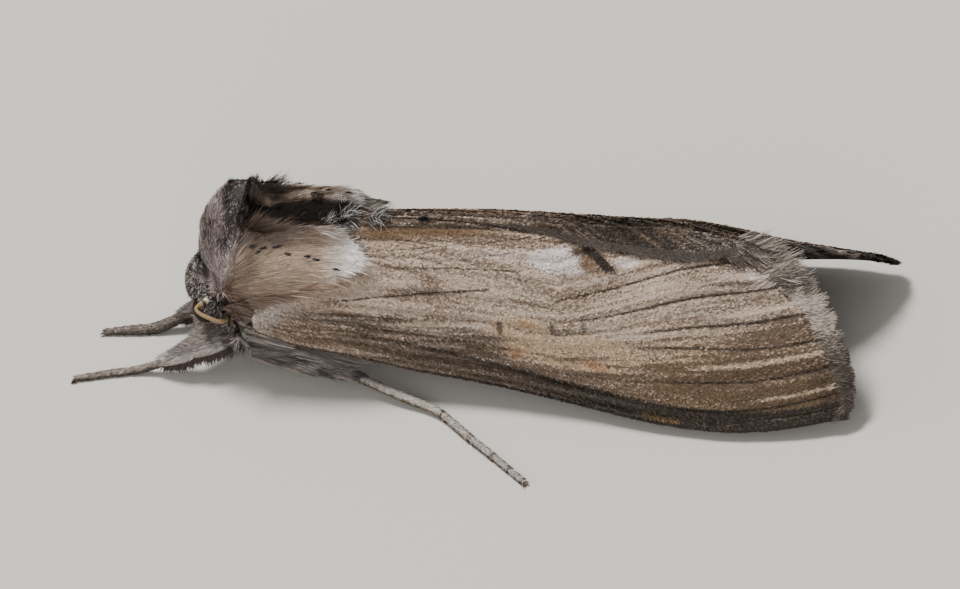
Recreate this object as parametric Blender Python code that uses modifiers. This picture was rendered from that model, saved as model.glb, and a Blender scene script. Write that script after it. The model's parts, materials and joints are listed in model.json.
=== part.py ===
"""A hooded owlet moth at rest, life size: wings folded like a roof, forelegs stretched ahead.

Row frame in metres: +Z up, the head towards -X, the moth's left side towards -Y, feet on z = 0.
The numbers below are millimetres, and MM turns them into metres. The solids reach the tips of
the hair and of the wing fringe, and thin cuts of GAP part the neighbours.
"""

import math

import bmesh
import bpy
import numpy as np
from mathutils import Matrix, Vector

MM = 0.001
LEFT, RIGHT = -1, 1
GAP = 0.08                   # thin cut between neighbouring pieces
ROOM = 0.1                   # that a cutter leaves around a piece
SHARE_GAP = 0.012            # the same cut, as a share of a roof slope

# The roof that the forewings make: (x, value) knots. A share runs from ridge 0 to costa 1.
RIDGE_HEIGHT = ((-9, 6.9), (-3.5, 6.6), (0.3, 6.55), (6, 6.1), (9.6, 5.75), (11.5, 5.1), (15.4, 4.4))
COSTA_WIDTH = ((-8.4, 2.25), (-6, 2.65), (-2.2, 2.85), (1.5, 3.2), (4, 3.55), (8, 4.35),
               (10.5, 4.65), (13, 4.5), (15.4, 3.95))
COSTA_HEIGHT = ((-8.4, 3.3), (-6, 2.4), (-4, 1.85), (-2, 1.2), (1, 0.85), (5, 0.55), (10, 0.4),
                (15.4, 0.8))
RIDGE_CLEAR = 0.1            # from the middle to the upper edge of each wing
RIDGE_FLATNESS = ((-9, 0.4), (2, 0.36), (8, 0.2), (15.4, 0.08))   # level top, of half the width
EAVES_BULGE = ((-9, 1.04), (6, 1.0), (11, 0.9), (15.4, 0.8))      # of the half width
EAVES_STEEPNESS = ((-9, 0.42), (8, 0.4), (12, 0.3), (15.4, 0.25))  # of the rise
WING_BASE = ((0, -3.3), (0.2, -2.9), (0.35, -2.2), (0.5, -3.6), (0.62, -5.3), (0.72, -6.9),
             (0.85, -7.9), (1, -8.35))
FRINGE_EDGE = ((0, 11.9), (0.15, 12.8), (0.3, 13.8), (0.45, 14.55), (0.65, 15.1), (0.85, 15.4),
               (1, 15.1))
PLATE = 0.5                  # thickness of a wing
RIDGE_CROWDING = 1.5         # crowds the faces of a plate towards the ridge
TEGULA_SHARES, TEGULA_DEPTH, TEGULA_LIFT = (0.2, 0.7), 1.1, 0.4
HINDWING_SHARES, HINDWING_SINK = (0.2, 0.55), PLATE + 0.12
HINDWING_START, HINDWING_REACH, HINDWING_SLANT = -2.0, 13.2, 4.5

# Body.
THORAX_FRONT, THORAX_BACK = -9.3, -2.6
THORAX_WIDTH, THORAX_MIDDLE, THORAX_BOTTOM = 2.6, 3.7, 1.75
WAIST_X = -3.5               # cut between thorax and abdomen
ABDOMEN_TIP = 10.6
ABDOMEN_RADIUS = ((-4.7, 1.5), (-2, 1.62), (2, 1.62), (6, 1.4), (8.5, 1.05), (10.6, 0.9))
ABDOMEN_AXIS = ((-4.7, 2.85), (2, 2.75), (6, 2.8), (10.6, 2.9))
RING_PITCH = 1.5             # length of one abdomen segment
HEAD_CENTRE, HEAD_RADII = (-9.45, 0, 3.5), (0.95, 1.15, 1.08)
EYE_CENTRE, EYE_RADIUS = (-9.65, 1.02, 3.0), 0.62
COLLAR_CENTRE, COLLAR_RADII = (-8.2, 0, 4.9), (1.6, 2.45, 3.45)
COLLAR_DROP, COLLAR_LEAN, COLLAR_TAPER = 1.4, 1.25, 0.75
COLLAR_BACK = ((-8.3, 4.1), (-6.7, 8.0))    # its flat back, as two (x, z) points
COLLAR_FOOT = ((-9.9, 4.85), (-8.0, 4.2))   # and its lower edge, over the head

# Limbs of the right side, as (x, y, z, radius) points. FOOT is a tarsus's axis and radius.
FOOT = (0.22, 0.25)
PALP = ((-9.85, 0.42, 2.1, 0.25), (-10.1, 0.45, 1.95, 0.25), (-10.45, 0.42, 1.9, 0.2))
ANTENNA = ((-9.65, 1.66, 3.74, 0.25), (-9.1, 1.98, 3.5, 0.25), (-8.5, 2.08, 3.03, 0.25),
           (-7.6, 1.95, 2.5, 0.25), (-6.4, 1.95, 2.12, 0.25), (-5, 1.95, 1.78, 0.25),
           (-3, 2.0, 1.5, 0.25), (0, 2.05, 1.2, 0.2))
FORE_FEMUR = ((-8.55, 1.0, 1.66, 0.42), (-9.4, 1.3, 1.55, 0.46), (-10.1, 1.45, 1.38, 0.4))
FORE_TIBIA = ((-10.47, 1.43, 1.22, 0.4), (-11.2, 1.32, 0.9, 0.38), (-11.95, 1.2, 0.6, 0.27))
FORE_TARSUS = ((-12.21, 1.18, 0.5, 0.25), (-12.9, 1.2, *FOOT), (-14, 1.35, *FOOT),
               (-15.1, 1.58, *FOOT))
FAR_FORE_TARSUS = ((-12.21, 1.15, 0.5, 0.25), (-12.9, 1.02, *FOOT), (-13.8, 0.95, *FOOT),
                   (-14.5, 0.9, *FOOT))
MID_FEMUR = ((-5.9, 0.8, 1.36, 0.38), (-7.6, 1.28, 1.4, 0.38))
MID_TIBIA = ((-7.9, 1.99, 1.64, 0.38), (-6.5, 2.08, 1.26, 0.42), (-5, 2.15, 0.96, 0.38),
             (-3.95, 2.2, 0.78, 0.27))
MID_TARSUS = ((-3.69, 2.25, 0.68, 0.25), (-2.4, 2.75, 0.45, 0.25), (-0.75, 3.4, *FOOT),
              (0.75, 4.65, *FOOT), (1.9, 5.6, *FOOT), (3.3, 6.8, *FOOT))
FAR_MID_TARSUS = ((-3.69, 2.25, 0.68, 0.25), (-2.4, 2.75, 0.45, 0.25), (-0.75, 3.4, *FOOT),
                  (0.7, 4.5, *FOOT), (1.8, 5.35, *FOOT), (3.1, 6.35, *FOOT))
HIND_FEMUR = ((-4.5, 0.75, 1.42, 0.38), (-3.2, 1.15, 1.1, 0.36), (-2.3, 1.35, 0.95, 0.3))
HIND_TIBIA = ((-2.0, 1.42, 0.86, 0.3), (0.2, 1.65, 0.6, 0.28), (2, 1.95, 0.45, 0.26))
HIND_TARSUS = ((2.27, 2.0, 0.38, 0.25), (3.2, 2.15, *FOOT), (6.2, 2.6, *FOOT))


def profile(x, knots):
    """The value at x of a smooth curve through (x, value) knots."""
    xs, values = (np.array(column, float) for column in zip(*knots))
    slopes = np.gradient(values, xs)
    x = min(max(x, xs[0]), xs[-1])
    i = min(int(np.searchsorted(xs, x, side="right")) - 1, len(xs) - 2)
    step = xs[i + 1] - xs[i]
    s = (x - xs[i]) / step
    return float(
        (2 * s**3 - 3 * s**2 + 1) * values[i]
        + (s**3 - 2 * s**2 + s) * step * slopes[i]
        + (3 * s**2 - 2 * s**3) * values[i + 1]
        + (s**3 - s**2) * step * slopes[i + 1]
    )


def smooth_route(points, per_span=3):
    """Points of a Catmull-Rom curve through (x, y, z, radius) points, with rounded ends."""
    p = np.array(points, float)
    p = np.vstack([2 * p[0] - p[1], p, 2 * p[-1] - p[-2]])
    found = []
    for a, b, c, d in zip(p, p[1:], p[2:], p[3:]):
        for s in np.arange(per_span) / per_span:
            found.append(0.5 * (2 * b + (c - a) * s + (2 * a - 5 * b + 4 * c - d) * s**2
                                + (3 * b - a - 3 * c + d) * s**3))
    found.append(p[-2])
    ends = []
    for end, inner in ((found[0], found[1]), (found[-1], found[-2])):
        out = (end[:3] - inner[:3]) / np.linalg.norm(end[:3] - inner[:3])
        ends.append(np.append(end[:3] + out * 0.35 * end[3], 0.6 * end[3]))
    return [ends[0], *found, ends[1]]


def collection(name):
    made = bpy.data.collections.new(name)
    bpy.context.scene.collection.children.link(made)
    return made


def material(name, colour, roughness):
    made = bpy.data.materials.new(name)
    made.use_nodes = True
    shader = made.node_tree.nodes["Principled BSDF"]
    shader.inputs["Base Color"].default_value = (*colour, 1)
    shader.inputs["Roughness"].default_value = roughness
    return made


def mesh_of(bm, name):
    """The closed mesh that bm holds, its faces pointing out. It ends bm."""
    bmesh.ops.recalc_face_normals(bm, faces=bm.faces)
    mesh = bpy.data.meshes.new(name)
    bm.to_mesh(mesh)
    bm.free()
    return mesh


def add_object(name, mesh, finish=None):
    """A new object: a piece of the moth if it has a finish, otherwise a cutter."""
    made = bpy.data.objects.new(name, mesh)
    if finish:
        MOTH.objects.link(made)
        mesh.materials.append(finish)
        mesh.shade_smooth()
    else:
        CUTTERS.objects.link(made)
        made.hide_render = True
        made.display_type = "WIRE"
    return made


def cut(piece, *cutters):
    for cutter in cutters:
        modifier = piece.modifiers.new(f"less {cutter.name}", "BOOLEAN")
        modifier.operation = "DIFFERENCE"
        modifier.object = cutter


def shaped_sphere(name, place, finish=None, segments=20, rings=12):
    """A UV sphere with its poles on the X axis, its unit points moved by place(x, y, z)."""
    bm = bmesh.new()
    bmesh.ops.create_uvsphere(bm, u_segments=segments, v_segments=rings, radius=1,
                              matrix=Matrix.Rotation(math.radians(90), 4, "Y"))
    for v in bm.verts:
        v.co = Vector(place(*v.co)) * MM
    return add_object(name, mesh_of(bm, name), finish)


def ellipsoid(name, centre, radii, finish=None, grow=0.0, **detail):
    def place(*unit):
        return [c + (r + grow) * u for c, r, u in zip(centre, radii, unit)]
    return shaped_sphere(name, place, finish, **detail)


def half_space(name, start, end):
    """A cutter that fills one side of a plane along Y. Going up from start, it is ahead."""
    start, end = (Vector((x, 0, z)) for x, z in (start, end))
    along, across, side = (end - start).normalized(), Vector((0, 1, 0)), 40.0
    out = along.cross(across)
    turn = Matrix((out, across, along)).transposed().to_4x4()
    place = Matrix.Scale(MM, 4) @ Matrix.Translation((start + end + out * side) / 2) @ turn
    bm = bmesh.new()
    bmesh.ops.create_cube(bm, size=side, matrix=place)
    return add_object(name, mesh_of(bm, name))


def roof_point(x, share, side):
    """A point of the roof's outside at x and at this share of the slope."""
    ridge, eaves, width = (profile(x, knots) for knots in (RIDGE_HEIGHT, COSTA_HEIGHT, COSTA_WIDTH))
    flatness, bulge, steepness = (
        profile(x, knots) for knots in (RIDGE_FLATNESS, EAVES_BULGE, EAVES_STEEPNESS))
    corners = ((RIDGE_CLEAR, ridge), (RIDGE_CLEAR + flatness * width, ridge),
               (bulge * width, eaves + steepness * (ridge - eaves)), (width, eaves))
    rest = 1 - share
    weights = (rest**3, 3 * share * rest**2, 3 * share**2 * rest, share**3)
    y, z = (sum(w * c[i] for w, c in zip(weights, corners)) for i in (0, 1))
    return Vector((x, side * y, z))


def collar_back_x(z, clear=0.0):
    (x0, z0), (x1, z1) = COLLAR_BACK
    return x0 + (x1 - x0) * (z - z0) / (z1 - z0) + clear


def forewing_span(share):
    return profile(share, WING_BASE), profile(share, FRINGE_EDGE)


def tegula_span(share):
    top = roof_point(-7.5, share, RIGHT).z
    return collar_back_x(top, 2 * GAP), profile(share, WING_BASE) - 3 * GAP


def hindwing_span(share):
    return HINDWING_START, HINDWING_REACH - HINDWING_SLANT * share**2


def plate(name, side, span, shares, thickness, grid, finish=None, lift=0.0):
    """A curved plate on the roof. With no finish it is the cutter that clears room for it."""
    margin = 0.0 if finish else 2 * ROOM
    bm = bmesh.new()
    bmesh.ops.create_grid(bm, x_segments=grid[0], y_segments=grid[1], size=1)
    for v in bm.verts:
        share = shares[0] + (shares[1] - shares[0]) * ((v.co.y + 1) / 2) ** RIDGE_CROWDING
        start, end = span(share)
        x = start - margin + (end - start + 2 * margin) * (v.co.x + 1) / 2
        spread = 0.0 if finish else SHARE_GAP * v.co.y
        v.co = roof_point(x, share + spread, side) * MM
    if side == LEFT:
        bmesh.ops.reverse_faces(bm, faces=bm.faces)
    mesh = bpy.data.meshes.new(name)
    bm.to_mesh(mesh)
    bm.free()
    made = add_object(name, mesh, finish)
    if lift:
        shift = made.modifiers.new("lift", "DISPLACE")
        shift.mid_level = 0.0
        shift.strength = lift * MM
    reach = 0.0 if finish else 1.5      # a cutter also clears what is above the roof
    deep = thickness + margin / 2 + reach
    shell = made.modifiers.new("thickness", "SOLIDIFY")
    shell.thickness = deep * MM
    shell.offset = 2 * reach / deep - 1
    shell.use_even_offset = True
    return made


def tube(name, route, side, finish=None, grow=0.0):
    """A limb along the right side's route, on this side, made a closed mesh."""
    curve = bpy.data.curves.new(name, "CURVE")
    curve.dimensions = "3D"
    curve.bevel_depth = MM
    curve.bevel_resolution = 2
    curve.use_fill_caps = True
    points = smooth_route(route)
    spline = curve.splines.new("POLY")
    spline.points.add(len(points) - 1)
    for point, (x, y, z, radius) in zip(spline.points, points):
        point.co = (x * MM, side * y * MM, z * MM, 1)
        point.radius = radius + grow
    guide = bpy.data.objects.new(name + "_guide", curve)
    MOTH.objects.link(guide)
    bpy.context.view_layer.update()
    mesh = bpy.data.meshes.new_from_object(guide)
    bpy.data.objects.remove(guide)
    bm = bmesh.new()
    bm.from_mesh(mesh)
    bmesh.ops.remove_doubles(bm, verts=bm.verts, dist=1e-6)
    return add_object(name, mesh_of(bm, name), finish)


def thorax_place(ux, uy, uz):
    """A blunt barrel whose back follows the ridge of the roof."""
    middle, half = (THORAX_FRONT + THORAX_BACK) / 2, (THORAX_BACK - THORAX_FRONT) / 2
    x = middle + half * ux
    radial = math.hypot(uy, uz) or 1e-9
    blunt = radial**0.45 / radial
    rise = profile(x, RIDGE_HEIGHT) - THORAX_MIDDLE if uz > 0 else THORAX_MIDDLE - THORAX_BOTTOM
    return x, THORAX_WIDTH * uy * blunt * (1 + 0.1 * uz), THORAX_MIDDLE + rise * uz * blunt


def collar_place(ux, uy, uz):
    """A hood over the neck, pointed ahead, drawn up to a narrow crest that leans back."""
    up = max(uz, 0.0)
    if ux < 0:
        ux *= 1.06 - COLLAR_TAPER * math.hypot(uy, 0.08) * (1 - 0.6 * up)
    x, y, z = (c + r * u for c, r, u in zip(COLLAR_CENTRE, COLLAR_RADII, (ux, uy, uz)))
    if uz < 0:
        z = COLLAR_CENTRE[2] + COLLAR_DROP * uz
    return x + COLLAR_LEAN * up**1.3, y * (1 - 0.45 * up**1.5), z


def abdomen_place(ux, uy, uz):
    """A long cone with faint rings, ending in a short brush of hair."""
    start = WAIST_X - 1.2
    x = start + (ABDOMEN_TIP - start) * (ux + 1) / 2
    radial = math.hypot(uy, uz) or 1e-9
    ring = 1 + 0.02 * math.cos(2 * math.pi * x / RING_PITCH)
    radius = profile(x, ABDOMEN_RADIUS) * radial**0.35 / radial * ring
    return x, radius * uy, profile(x, ABDOMEN_AXIS) + 0.95 * radius * uz


def make_body():
    neck = half_space("neck_cut", *((x + GAP, z) for x, z in COLLAR_BACK))
    nape = half_space("nape_cut", *reversed(COLLAR_BACK))
    before_waist = half_space("before_waist", (WAIST_X + GAP / 2, 0), (WAIST_X + GAP / 2, 6))
    behind_waist = half_space("behind_waist", (WAIST_X - GAP / 2, 8), (WAIST_X - GAP / 2, 0))
    head_room = ellipsoid("head_room", HEAD_CENTRE, HEAD_RADII, grow=ROOM)
    head = ellipsoid("head", HEAD_CENTRE, HEAD_RADII, GREY_HAIR)
    collar = shaped_sphere("collar", collar_place, GREY_HAIR, 20, 16)
    cut(collar, nape, half_space("collar_foot", *reversed(COLLAR_FOOT)))
    thorax = shaped_sphere("thorax", thorax_place, DARK_HAIR, 20, 14)
    cut(thorax, neck, behind_waist, head_room)
    abdomen = shaped_sphere("abdomen", abdomen_place, GREY_HAIR, 14, 28)
    cut(abdomen, before_waist)
    return head, thorax


def make_wings(side, end, thorax):
    plate("forewing" + end, side, forewing_span, (0, 1), PLATE, (20, 8), WING_SCALES)
    plate("tegula" + end, side, tegula_span, TEGULA_SHARES, TEGULA_DEPTH, (8, 6), FAWN_HAIR,
          TEGULA_LIFT)
    plate("hindwing" + end, side, hindwing_span, HINDWING_SHARES, PLATE, (10, 4), HINDWING_SCALES,
          -HINDWING_SINK)
    cut(
        thorax,
        plate("forewing_room" + end, side, forewing_span, (0.4, 1), PLATE, (20, 6)),
        plate("tegula_room" + end, side, tegula_span, TEGULA_SHARES, TEGULA_DEPTH, (8, 6),
              lift=TEGULA_LIFT),
    )


def make_head_pieces(side, end, head, thorax):
    x, y, z = EYE_CENTRE
    centre, radii = (x, side * y, z), [EYE_RADIUS] * 3
    ellipsoid("eye" + end, centre, radii, EYE, segments=14, rings=9)
    cut(head, ellipsoid("eye_room" + end, centre, radii, grow=ROOM, segments=14, rings=9))
    tube("palp" + end, PALP, side, GREY_HAIR)
    tube("antenna" + end, ANTENNA, side, FEELER)
    cut(thorax, tube("antenna_room" + end, ANTENNA, side, grow=ROOM))


def make_legs(side, end):
    near = side == LEFT
    legs = {
        "fore": (FORE_FEMUR, FORE_TIBIA, FORE_TARSUS if near else FAR_FORE_TARSUS),
        "mid": (MID_FEMUR, MID_TIBIA, MID_TARSUS if near else FAR_MID_TARSUS),
        "hind": (HIND_FEMUR, HIND_TIBIA, HIND_TARSUS),
    }
    for leg, routes in legs.items():
        for part, route in zip(("femur", "tibia", "tarsus"), routes):
            piece = tube(f"{leg}_{part}{end}", route, side, LEG_SCALES)
            if part == "tarsus":
                cut(piece, FLOOR)


for old in list(bpy.data.objects):
    bpy.data.objects.remove(old)
MOTH, CUTTERS = collection("moth"), collection("cutters")

GREY_HAIR = material("grey_hair", (0.30, 0.26, 0.25), 0.8)
DARK_HAIR = material("dark_hair", (0.09, 0.07, 0.06), 0.85)
FAWN_HAIR = material("fawn_hair", (0.45, 0.36, 0.27), 0.8)
WING_SCALES = material("wing_scales", (0.36, 0.28, 0.20), 0.7)
HINDWING_SCALES = material("hindwing_scales", (0.30, 0.25, 0.21), 0.7)
LEG_SCALES = material("leg_scales", (0.33, 0.28, 0.23), 0.75)
FEELER = material("feeler", (0.42, 0.33, 0.20), 0.6)
EYE = material("eye", (0.05, 0.03, 0.02), 0.2)

FLOOR = half_space("floor_cut", (20, 0), (-20, 0))
HEAD, THORAX = make_body()
for SIDE, END in ((LEFT, "_left"), (RIGHT, "_right")):
    make_wings(SIDE, END, THORAX)
    make_head_pieces(SIDE, END, HEAD, THORAX)
    make_legs(SIDE, END)
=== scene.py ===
# %% [markdown]
# # A hooded owlet moth at rest
# This lesson dresses a plain model of a moth so that it looks alive. The plain model has the
# right size and outline, but its surfaces are bare. Here each one gets what the real insect
# wears: overlapping wing scales, a hood of hair, ringed feelers and dark eyes.
# All lengths are worked out in millimetres, because the whole moth is only 31 mm long, and
# MM turns them into Blender's metres when a mesh is made.

import math

import bmesh
import bpy
import numpy as np
from mathutils import Matrix, Vector
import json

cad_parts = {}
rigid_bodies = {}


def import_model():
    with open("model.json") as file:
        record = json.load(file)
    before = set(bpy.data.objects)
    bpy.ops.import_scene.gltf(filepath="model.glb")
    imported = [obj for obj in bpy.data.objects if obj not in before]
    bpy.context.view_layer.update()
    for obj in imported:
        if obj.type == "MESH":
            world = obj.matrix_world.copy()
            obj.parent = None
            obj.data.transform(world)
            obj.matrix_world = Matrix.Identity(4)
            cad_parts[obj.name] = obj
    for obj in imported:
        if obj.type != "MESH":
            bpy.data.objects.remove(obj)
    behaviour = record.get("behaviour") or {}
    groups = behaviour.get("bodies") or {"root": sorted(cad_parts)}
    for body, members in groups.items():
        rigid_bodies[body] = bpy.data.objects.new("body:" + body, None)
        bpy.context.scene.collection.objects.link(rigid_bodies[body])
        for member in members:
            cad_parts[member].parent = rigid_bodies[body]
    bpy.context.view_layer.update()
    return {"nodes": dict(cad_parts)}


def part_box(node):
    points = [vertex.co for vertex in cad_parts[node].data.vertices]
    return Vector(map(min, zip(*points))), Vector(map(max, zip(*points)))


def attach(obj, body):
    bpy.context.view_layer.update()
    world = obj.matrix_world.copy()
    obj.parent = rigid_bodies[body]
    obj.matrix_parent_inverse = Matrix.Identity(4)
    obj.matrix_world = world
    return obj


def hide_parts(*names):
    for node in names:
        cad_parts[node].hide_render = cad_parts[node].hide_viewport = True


for obj in list(bpy.data.objects):
    bpy.data.objects.remove(obj)
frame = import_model()
MM = 0.001
LEFT, RIGHT = -1, 1
SIDES = {"left": LEFT, "right": RIGHT}

# %% [markdown]
# ## Measuring with smooth profiles
# Many shapes of the moth are given by a few (position, value) pairs, such as the height of
# its back at some places. A cubic curve joins the pairs smoothly. It could be a Bezier curve
# object, but a function is quicker, because thousands of scales ask for its value.

# %% Smooth profiles
def profile(x, knots):
    """The smooth curve through (x, value) knots, at every x of an array."""
    xs, values = (np.array(column, float) for column in zip(*knots))
    slopes = np.gradient(values, xs)
    x = np.clip(x, xs[0], xs[-1])
    i = np.clip(np.searchsorted(xs, x, side="right") - 1, 0, len(xs) - 2)
    step = xs[i + 1] - xs[i]
    s = (x - xs[i]) / step
    return (
        (2 * s**3 - 3 * s**2 + 1) * values[i]
        + (s**3 - 2 * s**2 + s) * step * slopes[i]
        + (3 * s**2 - 2 * s**3) * values[i + 1]
        + (s**3 - s**2) * step * slopes[i + 1]
    )


def unit(v):
    """Each row of v, made one long."""
    return v / np.maximum(np.linalg.norm(v, axis=-1, keepdims=True), 1e-12)


def fade(x, start, end):
    """0 before start, 1 after end, and a soft step between. It also runs backwards."""
    s = np.clip((x - start) / (end - start), 0, 1)
    return s * s * (3 - 2 * s)


# %% [markdown]
# ## The roof
# A resting owlet moth folds its forewings over its back like the roof of a house. A place on
# this roof needs only two numbers. The first is x, how far back it is. The second is its
# share of the slope, 0 at the ridge and 1 at the front edge of the wing, the costa, which
# lies lowest. A cubic Bezier across the slope gives the soft bend near the ridge and the
# steep wall below it, and the profiles let it change from the shoulders to the wing tips.

# %% The roof's shape
RIDGE_HEIGHT = ((-9, 6.9), (-3.5, 6.6), (0.3, 6.55), (6, 6.1), (9.6, 5.75), (11.5, 5.1),
                (15.4, 4.4))
COSTA_WIDTH = ((-8.4, 2.2), (-6, 2.5), (-2.2, 2.6), (1.5, 3.0), (4, 3.45), (8, 4.35),
               (10.5, 4.65), (13, 4.5), (15.4, 3.95))
COSTA_HEIGHT = ((-8.4, 3.35), (-6, 2.5), (-4, 2.0), (-2, 1.45), (1, 1.05), (5, 0.62), (10, 0.4),
                (15.4, 0.8))
RIDGE_CLEAR = 0.04
RIDGE_FLATNESS = ((-9, 0.4), (2, 0.36), (8, 0.2), (15.4, 0.08))
EAVES_BULGE = ((-9, 1.04), (6, 1.0), (11, 0.9), (15.4, 0.8))
EAVES_STEEPNESS = ((-9, 0.42), (8, 0.4), (12, 0.3), (15.4, 0.25))
SMALL_STEP = 1e-3


def roof(x, share, side):
    """The roof's outside, in mm."""
    x, share = np.broadcast_arrays(np.asarray(x, float), np.asarray(share, float))
    ridge, eaves, width = (profile(x, k) for k in (RIDGE_HEIGHT, COSTA_HEIGHT, COSTA_WIDTH))
    flat, bulge, steep = (profile(x, k) for k in (RIDGE_FLATNESS, EAVES_BULGE, EAVES_STEEPNESS))
    ys = (RIDGE_CLEAR, RIDGE_CLEAR + flat * width, bulge * width, width)
    zs = (ridge, ridge, eaves + steep * (ridge - eaves), eaves)
    rest = 1 - share
    weights = (rest**3, 3 * share * rest**2, 3 * share**2 * rest, share**3)
    y, z = (sum(w * c for w, c in zip(weights, column)) for column in (ys, zs))
    return np.stack([x, side * y, z], -1)


def roof_axes(x, share, side):
    """Point, outward normal, and the steps along x and across the slope (per share)."""
    e = SMALL_STEP
    along = (roof(x + e, share, side) - roof(x - e, share, side)) / (2 * e)
    across = (roof(x, share + e, side) - roof(x, share - e, side)) / (2 * e)
    return roof(x, share, side), unit(np.cross(along, across)) * side, along, across


for name, side in SIDES.items():
    low, high = (np.array(corner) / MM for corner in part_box("forewing_" + name))
    gap = high[2] - roof(np.array([-3.3]), np.array([0.0]), side)[0, 2]
    print(f"forewing_{name}: highest {high[2]:.2f} mm, {abs(gap):.2f} mm from the roof's ridge")

# %% [markdown]
# ## Meshes from arrays
# A wing carries some eighty thousand scales. Adding them one by one would take minutes, so
# their corners are worked out together as number arrays and handed to Blender in one go.
# Each point also stores what its material needs to know: where on the body its root stands
# ("place"), how far along the blade it is ("tip"), and a chance value of its own ("tone").

# %% Make a mesh object
def mesh_object(name, points, quads=(), triangles=(), attributes=None, uv=None):
    """A smooth object from points in mm, quads and triangles, with values on the points."""
    quads = np.asarray(quads, np.int32).reshape(-1, 4)
    triangles = np.asarray(triangles, np.int32).reshape(-1, 3)
    mesh = bpy.data.meshes.new(name)
    corners = np.concatenate([quads.ravel(), triangles.ravel()])
    sizes = np.concatenate([np.full(len(quads), 4), np.full(len(triangles), 3)])
    starts = np.concatenate([[0], np.cumsum(sizes)[:-1]]).astype(np.int32)
    mesh.vertices.add(len(points))
    mesh.vertices.foreach_set("co", (np.asarray(points) * MM).astype(np.float32).ravel())
    mesh.loops.add(len(corners))
    mesh.loops.foreach_set("vertex_index", corners)
    mesh.polygons.add(len(sizes))
    mesh.polygons.foreach_set("loop_start", starts)
    mesh.polygons.foreach_set("use_smooth", np.full(len(sizes), True))
    for key, values in (attributes or {}).items():
        values = np.asarray(values, np.float32)
        vector = values.ndim == 2
        layer = mesh.attributes.new(key, "FLOAT_VECTOR" if vector else "FLOAT", "POINT")
        layer.data.foreach_set("vector" if vector else "value", values.ravel())
    if uv is not None:
        layer = mesh.uv_layers.new(name="OFBake")
        layer.data.foreach_set("uv", np.asarray(uv, np.float32)[corners].ravel())
    mesh.update(calc_edges=True)
    mesh.validate()
    return link(bpy.data.objects.new(name, mesh))


def link(obj):
    bpy.context.scene.collection.objects.link(obj)
    return obj


def grid_quads(rows, columns, wrap=False):
    """Quads of a grid of points that are stored row by row."""
    r, c = np.meshgrid(np.arange(rows - 1), np.arange(columns - (not wrap)), indexing="ij")
    d = (c + 1) % columns
    return np.stack([r * columns + c, r * columns + d, (r + 1) * columns + d,
                     (r + 1) * columns + c], -1).reshape(-1, 4)


def dress(piece, finish):
    """Gives a piece its material. Every piece rides on the moth's one body."""
    piece.data.materials.append(finish)
    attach(piece, "root")
    return piece


# %% [markdown]
# ## Blades
# A hair, a lock or a scale is the same thing at different widths: a thin flat blade that
# starts on the skin, leans over and follows the body. One maker does them all. The widths
# along the blade tell which it is: a scale is broad to its end, a hair runs out to a point.
# A blade bends down over the round body by its length squared over twice the body's radius.

# %% Make many blades
HAIR, SHORT_HAIR, SCALE = (0.7, 1.0, 0.6, 0), (0.8, 1.0, 0), (0, 1.0, 0.8)
BAKE_PATCH = 0.003      # how big a blade is on the unwrap
FLOOR_CLEAR = 0.02      # mm
ROLL = 0.25             # how much blades turn about their own length


def blades(name, root, normal, lie, length, width, rise, widths, place, tone, spot, seed,
           radius=3.0, curl=0.0):
    """Blades on the skin; lie is where they point, spot is the root's place on the unwrap."""
    chance = np.random.default_rng(seed)
    n, rings = len(root), len(widths)
    tangent = unit(lie - normal * np.sum(lie * normal, -1, keepdims=True))
    sideways = unit(np.cross(normal, tangent) + normal * chance.normal(0, ROLL, (n, 1)))
    length, width, rise, radius = (
        np.broadcast_to(np.asarray(v, float).reshape(-1, 1), (n, 1))
        for v in (length, width, rise, radius))
    swing = chance.normal(0, 1, (n, 1)) * curl
    points, tips, spots = [], [], []
    for k, wide in enumerate(widths):
        s = k / (rings - 1)
        run = length * s
        centre = (root + tangent * run + normal * (rise * s**0.8 - run**2 / (2 * radius))
                  + sideways * swing * run * s)
        for edge in ((-1, 1) if wide else (0,)):
            point = centre + sideways * edge * wide * width / 2
            points.append(np.hstack([point[:, :2], point[:, 2:].clip(FLOOR_CLEAR)]))
            tips.append(s)
            spots.append(spot + np.array([edge * 0.4, s - 0.5]) * BAKE_PATCH)
    per = len(points)
    first = np.arange(n)[:, None] * per
    quads, triangles, at = [], [], 0
    for wide, after in zip(widths, widths[1:]):
        if wide and after:
            quads.append(first + [at, at + 1, at + 3, at + 2])
        else:
            triangles.append(first + at + ([0, 1, 2] if wide else [0, 2, 1]))
        at += 2 if wide else 1
    made = mesh_object(
        name, np.stack(points, 1).reshape(-1, 3),
        np.concatenate(quads) if quads else (), np.concatenate(triangles) if triangles else (),
        {"place": np.repeat(place, per, 0), "tip": np.tile(tips, n),
         "tone": np.repeat(tone, per)},
        np.stack(spots, 1).reshape(-1, 2))
    print(f"{name}: {n} blades, {n * (2 * len(quads) + len(triangles))} triangles")
    return made


# %% [markdown]
# ## Writing shaders as sums
# A pattern such as a wing's markings takes a hundred small Math nodes. Wired by hand that is
# hard to read. A Wire stands for one output socket, and its +, -, * and so on add the
# matching node and return its output, so that a marking reads like the formula that it is.

# %% Wires
MATH = {"__add__": "ADD", "__radd__": "ADD", "__sub__": "SUBTRACT", "__mul__": "MULTIPLY",
        "__rmul__": "MULTIPLY", "__truediv__": "DIVIDE", "__abs__": "ABSOLUTE",
        "most": "MAXIMUM", "least": "MINIMUM"}


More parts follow.
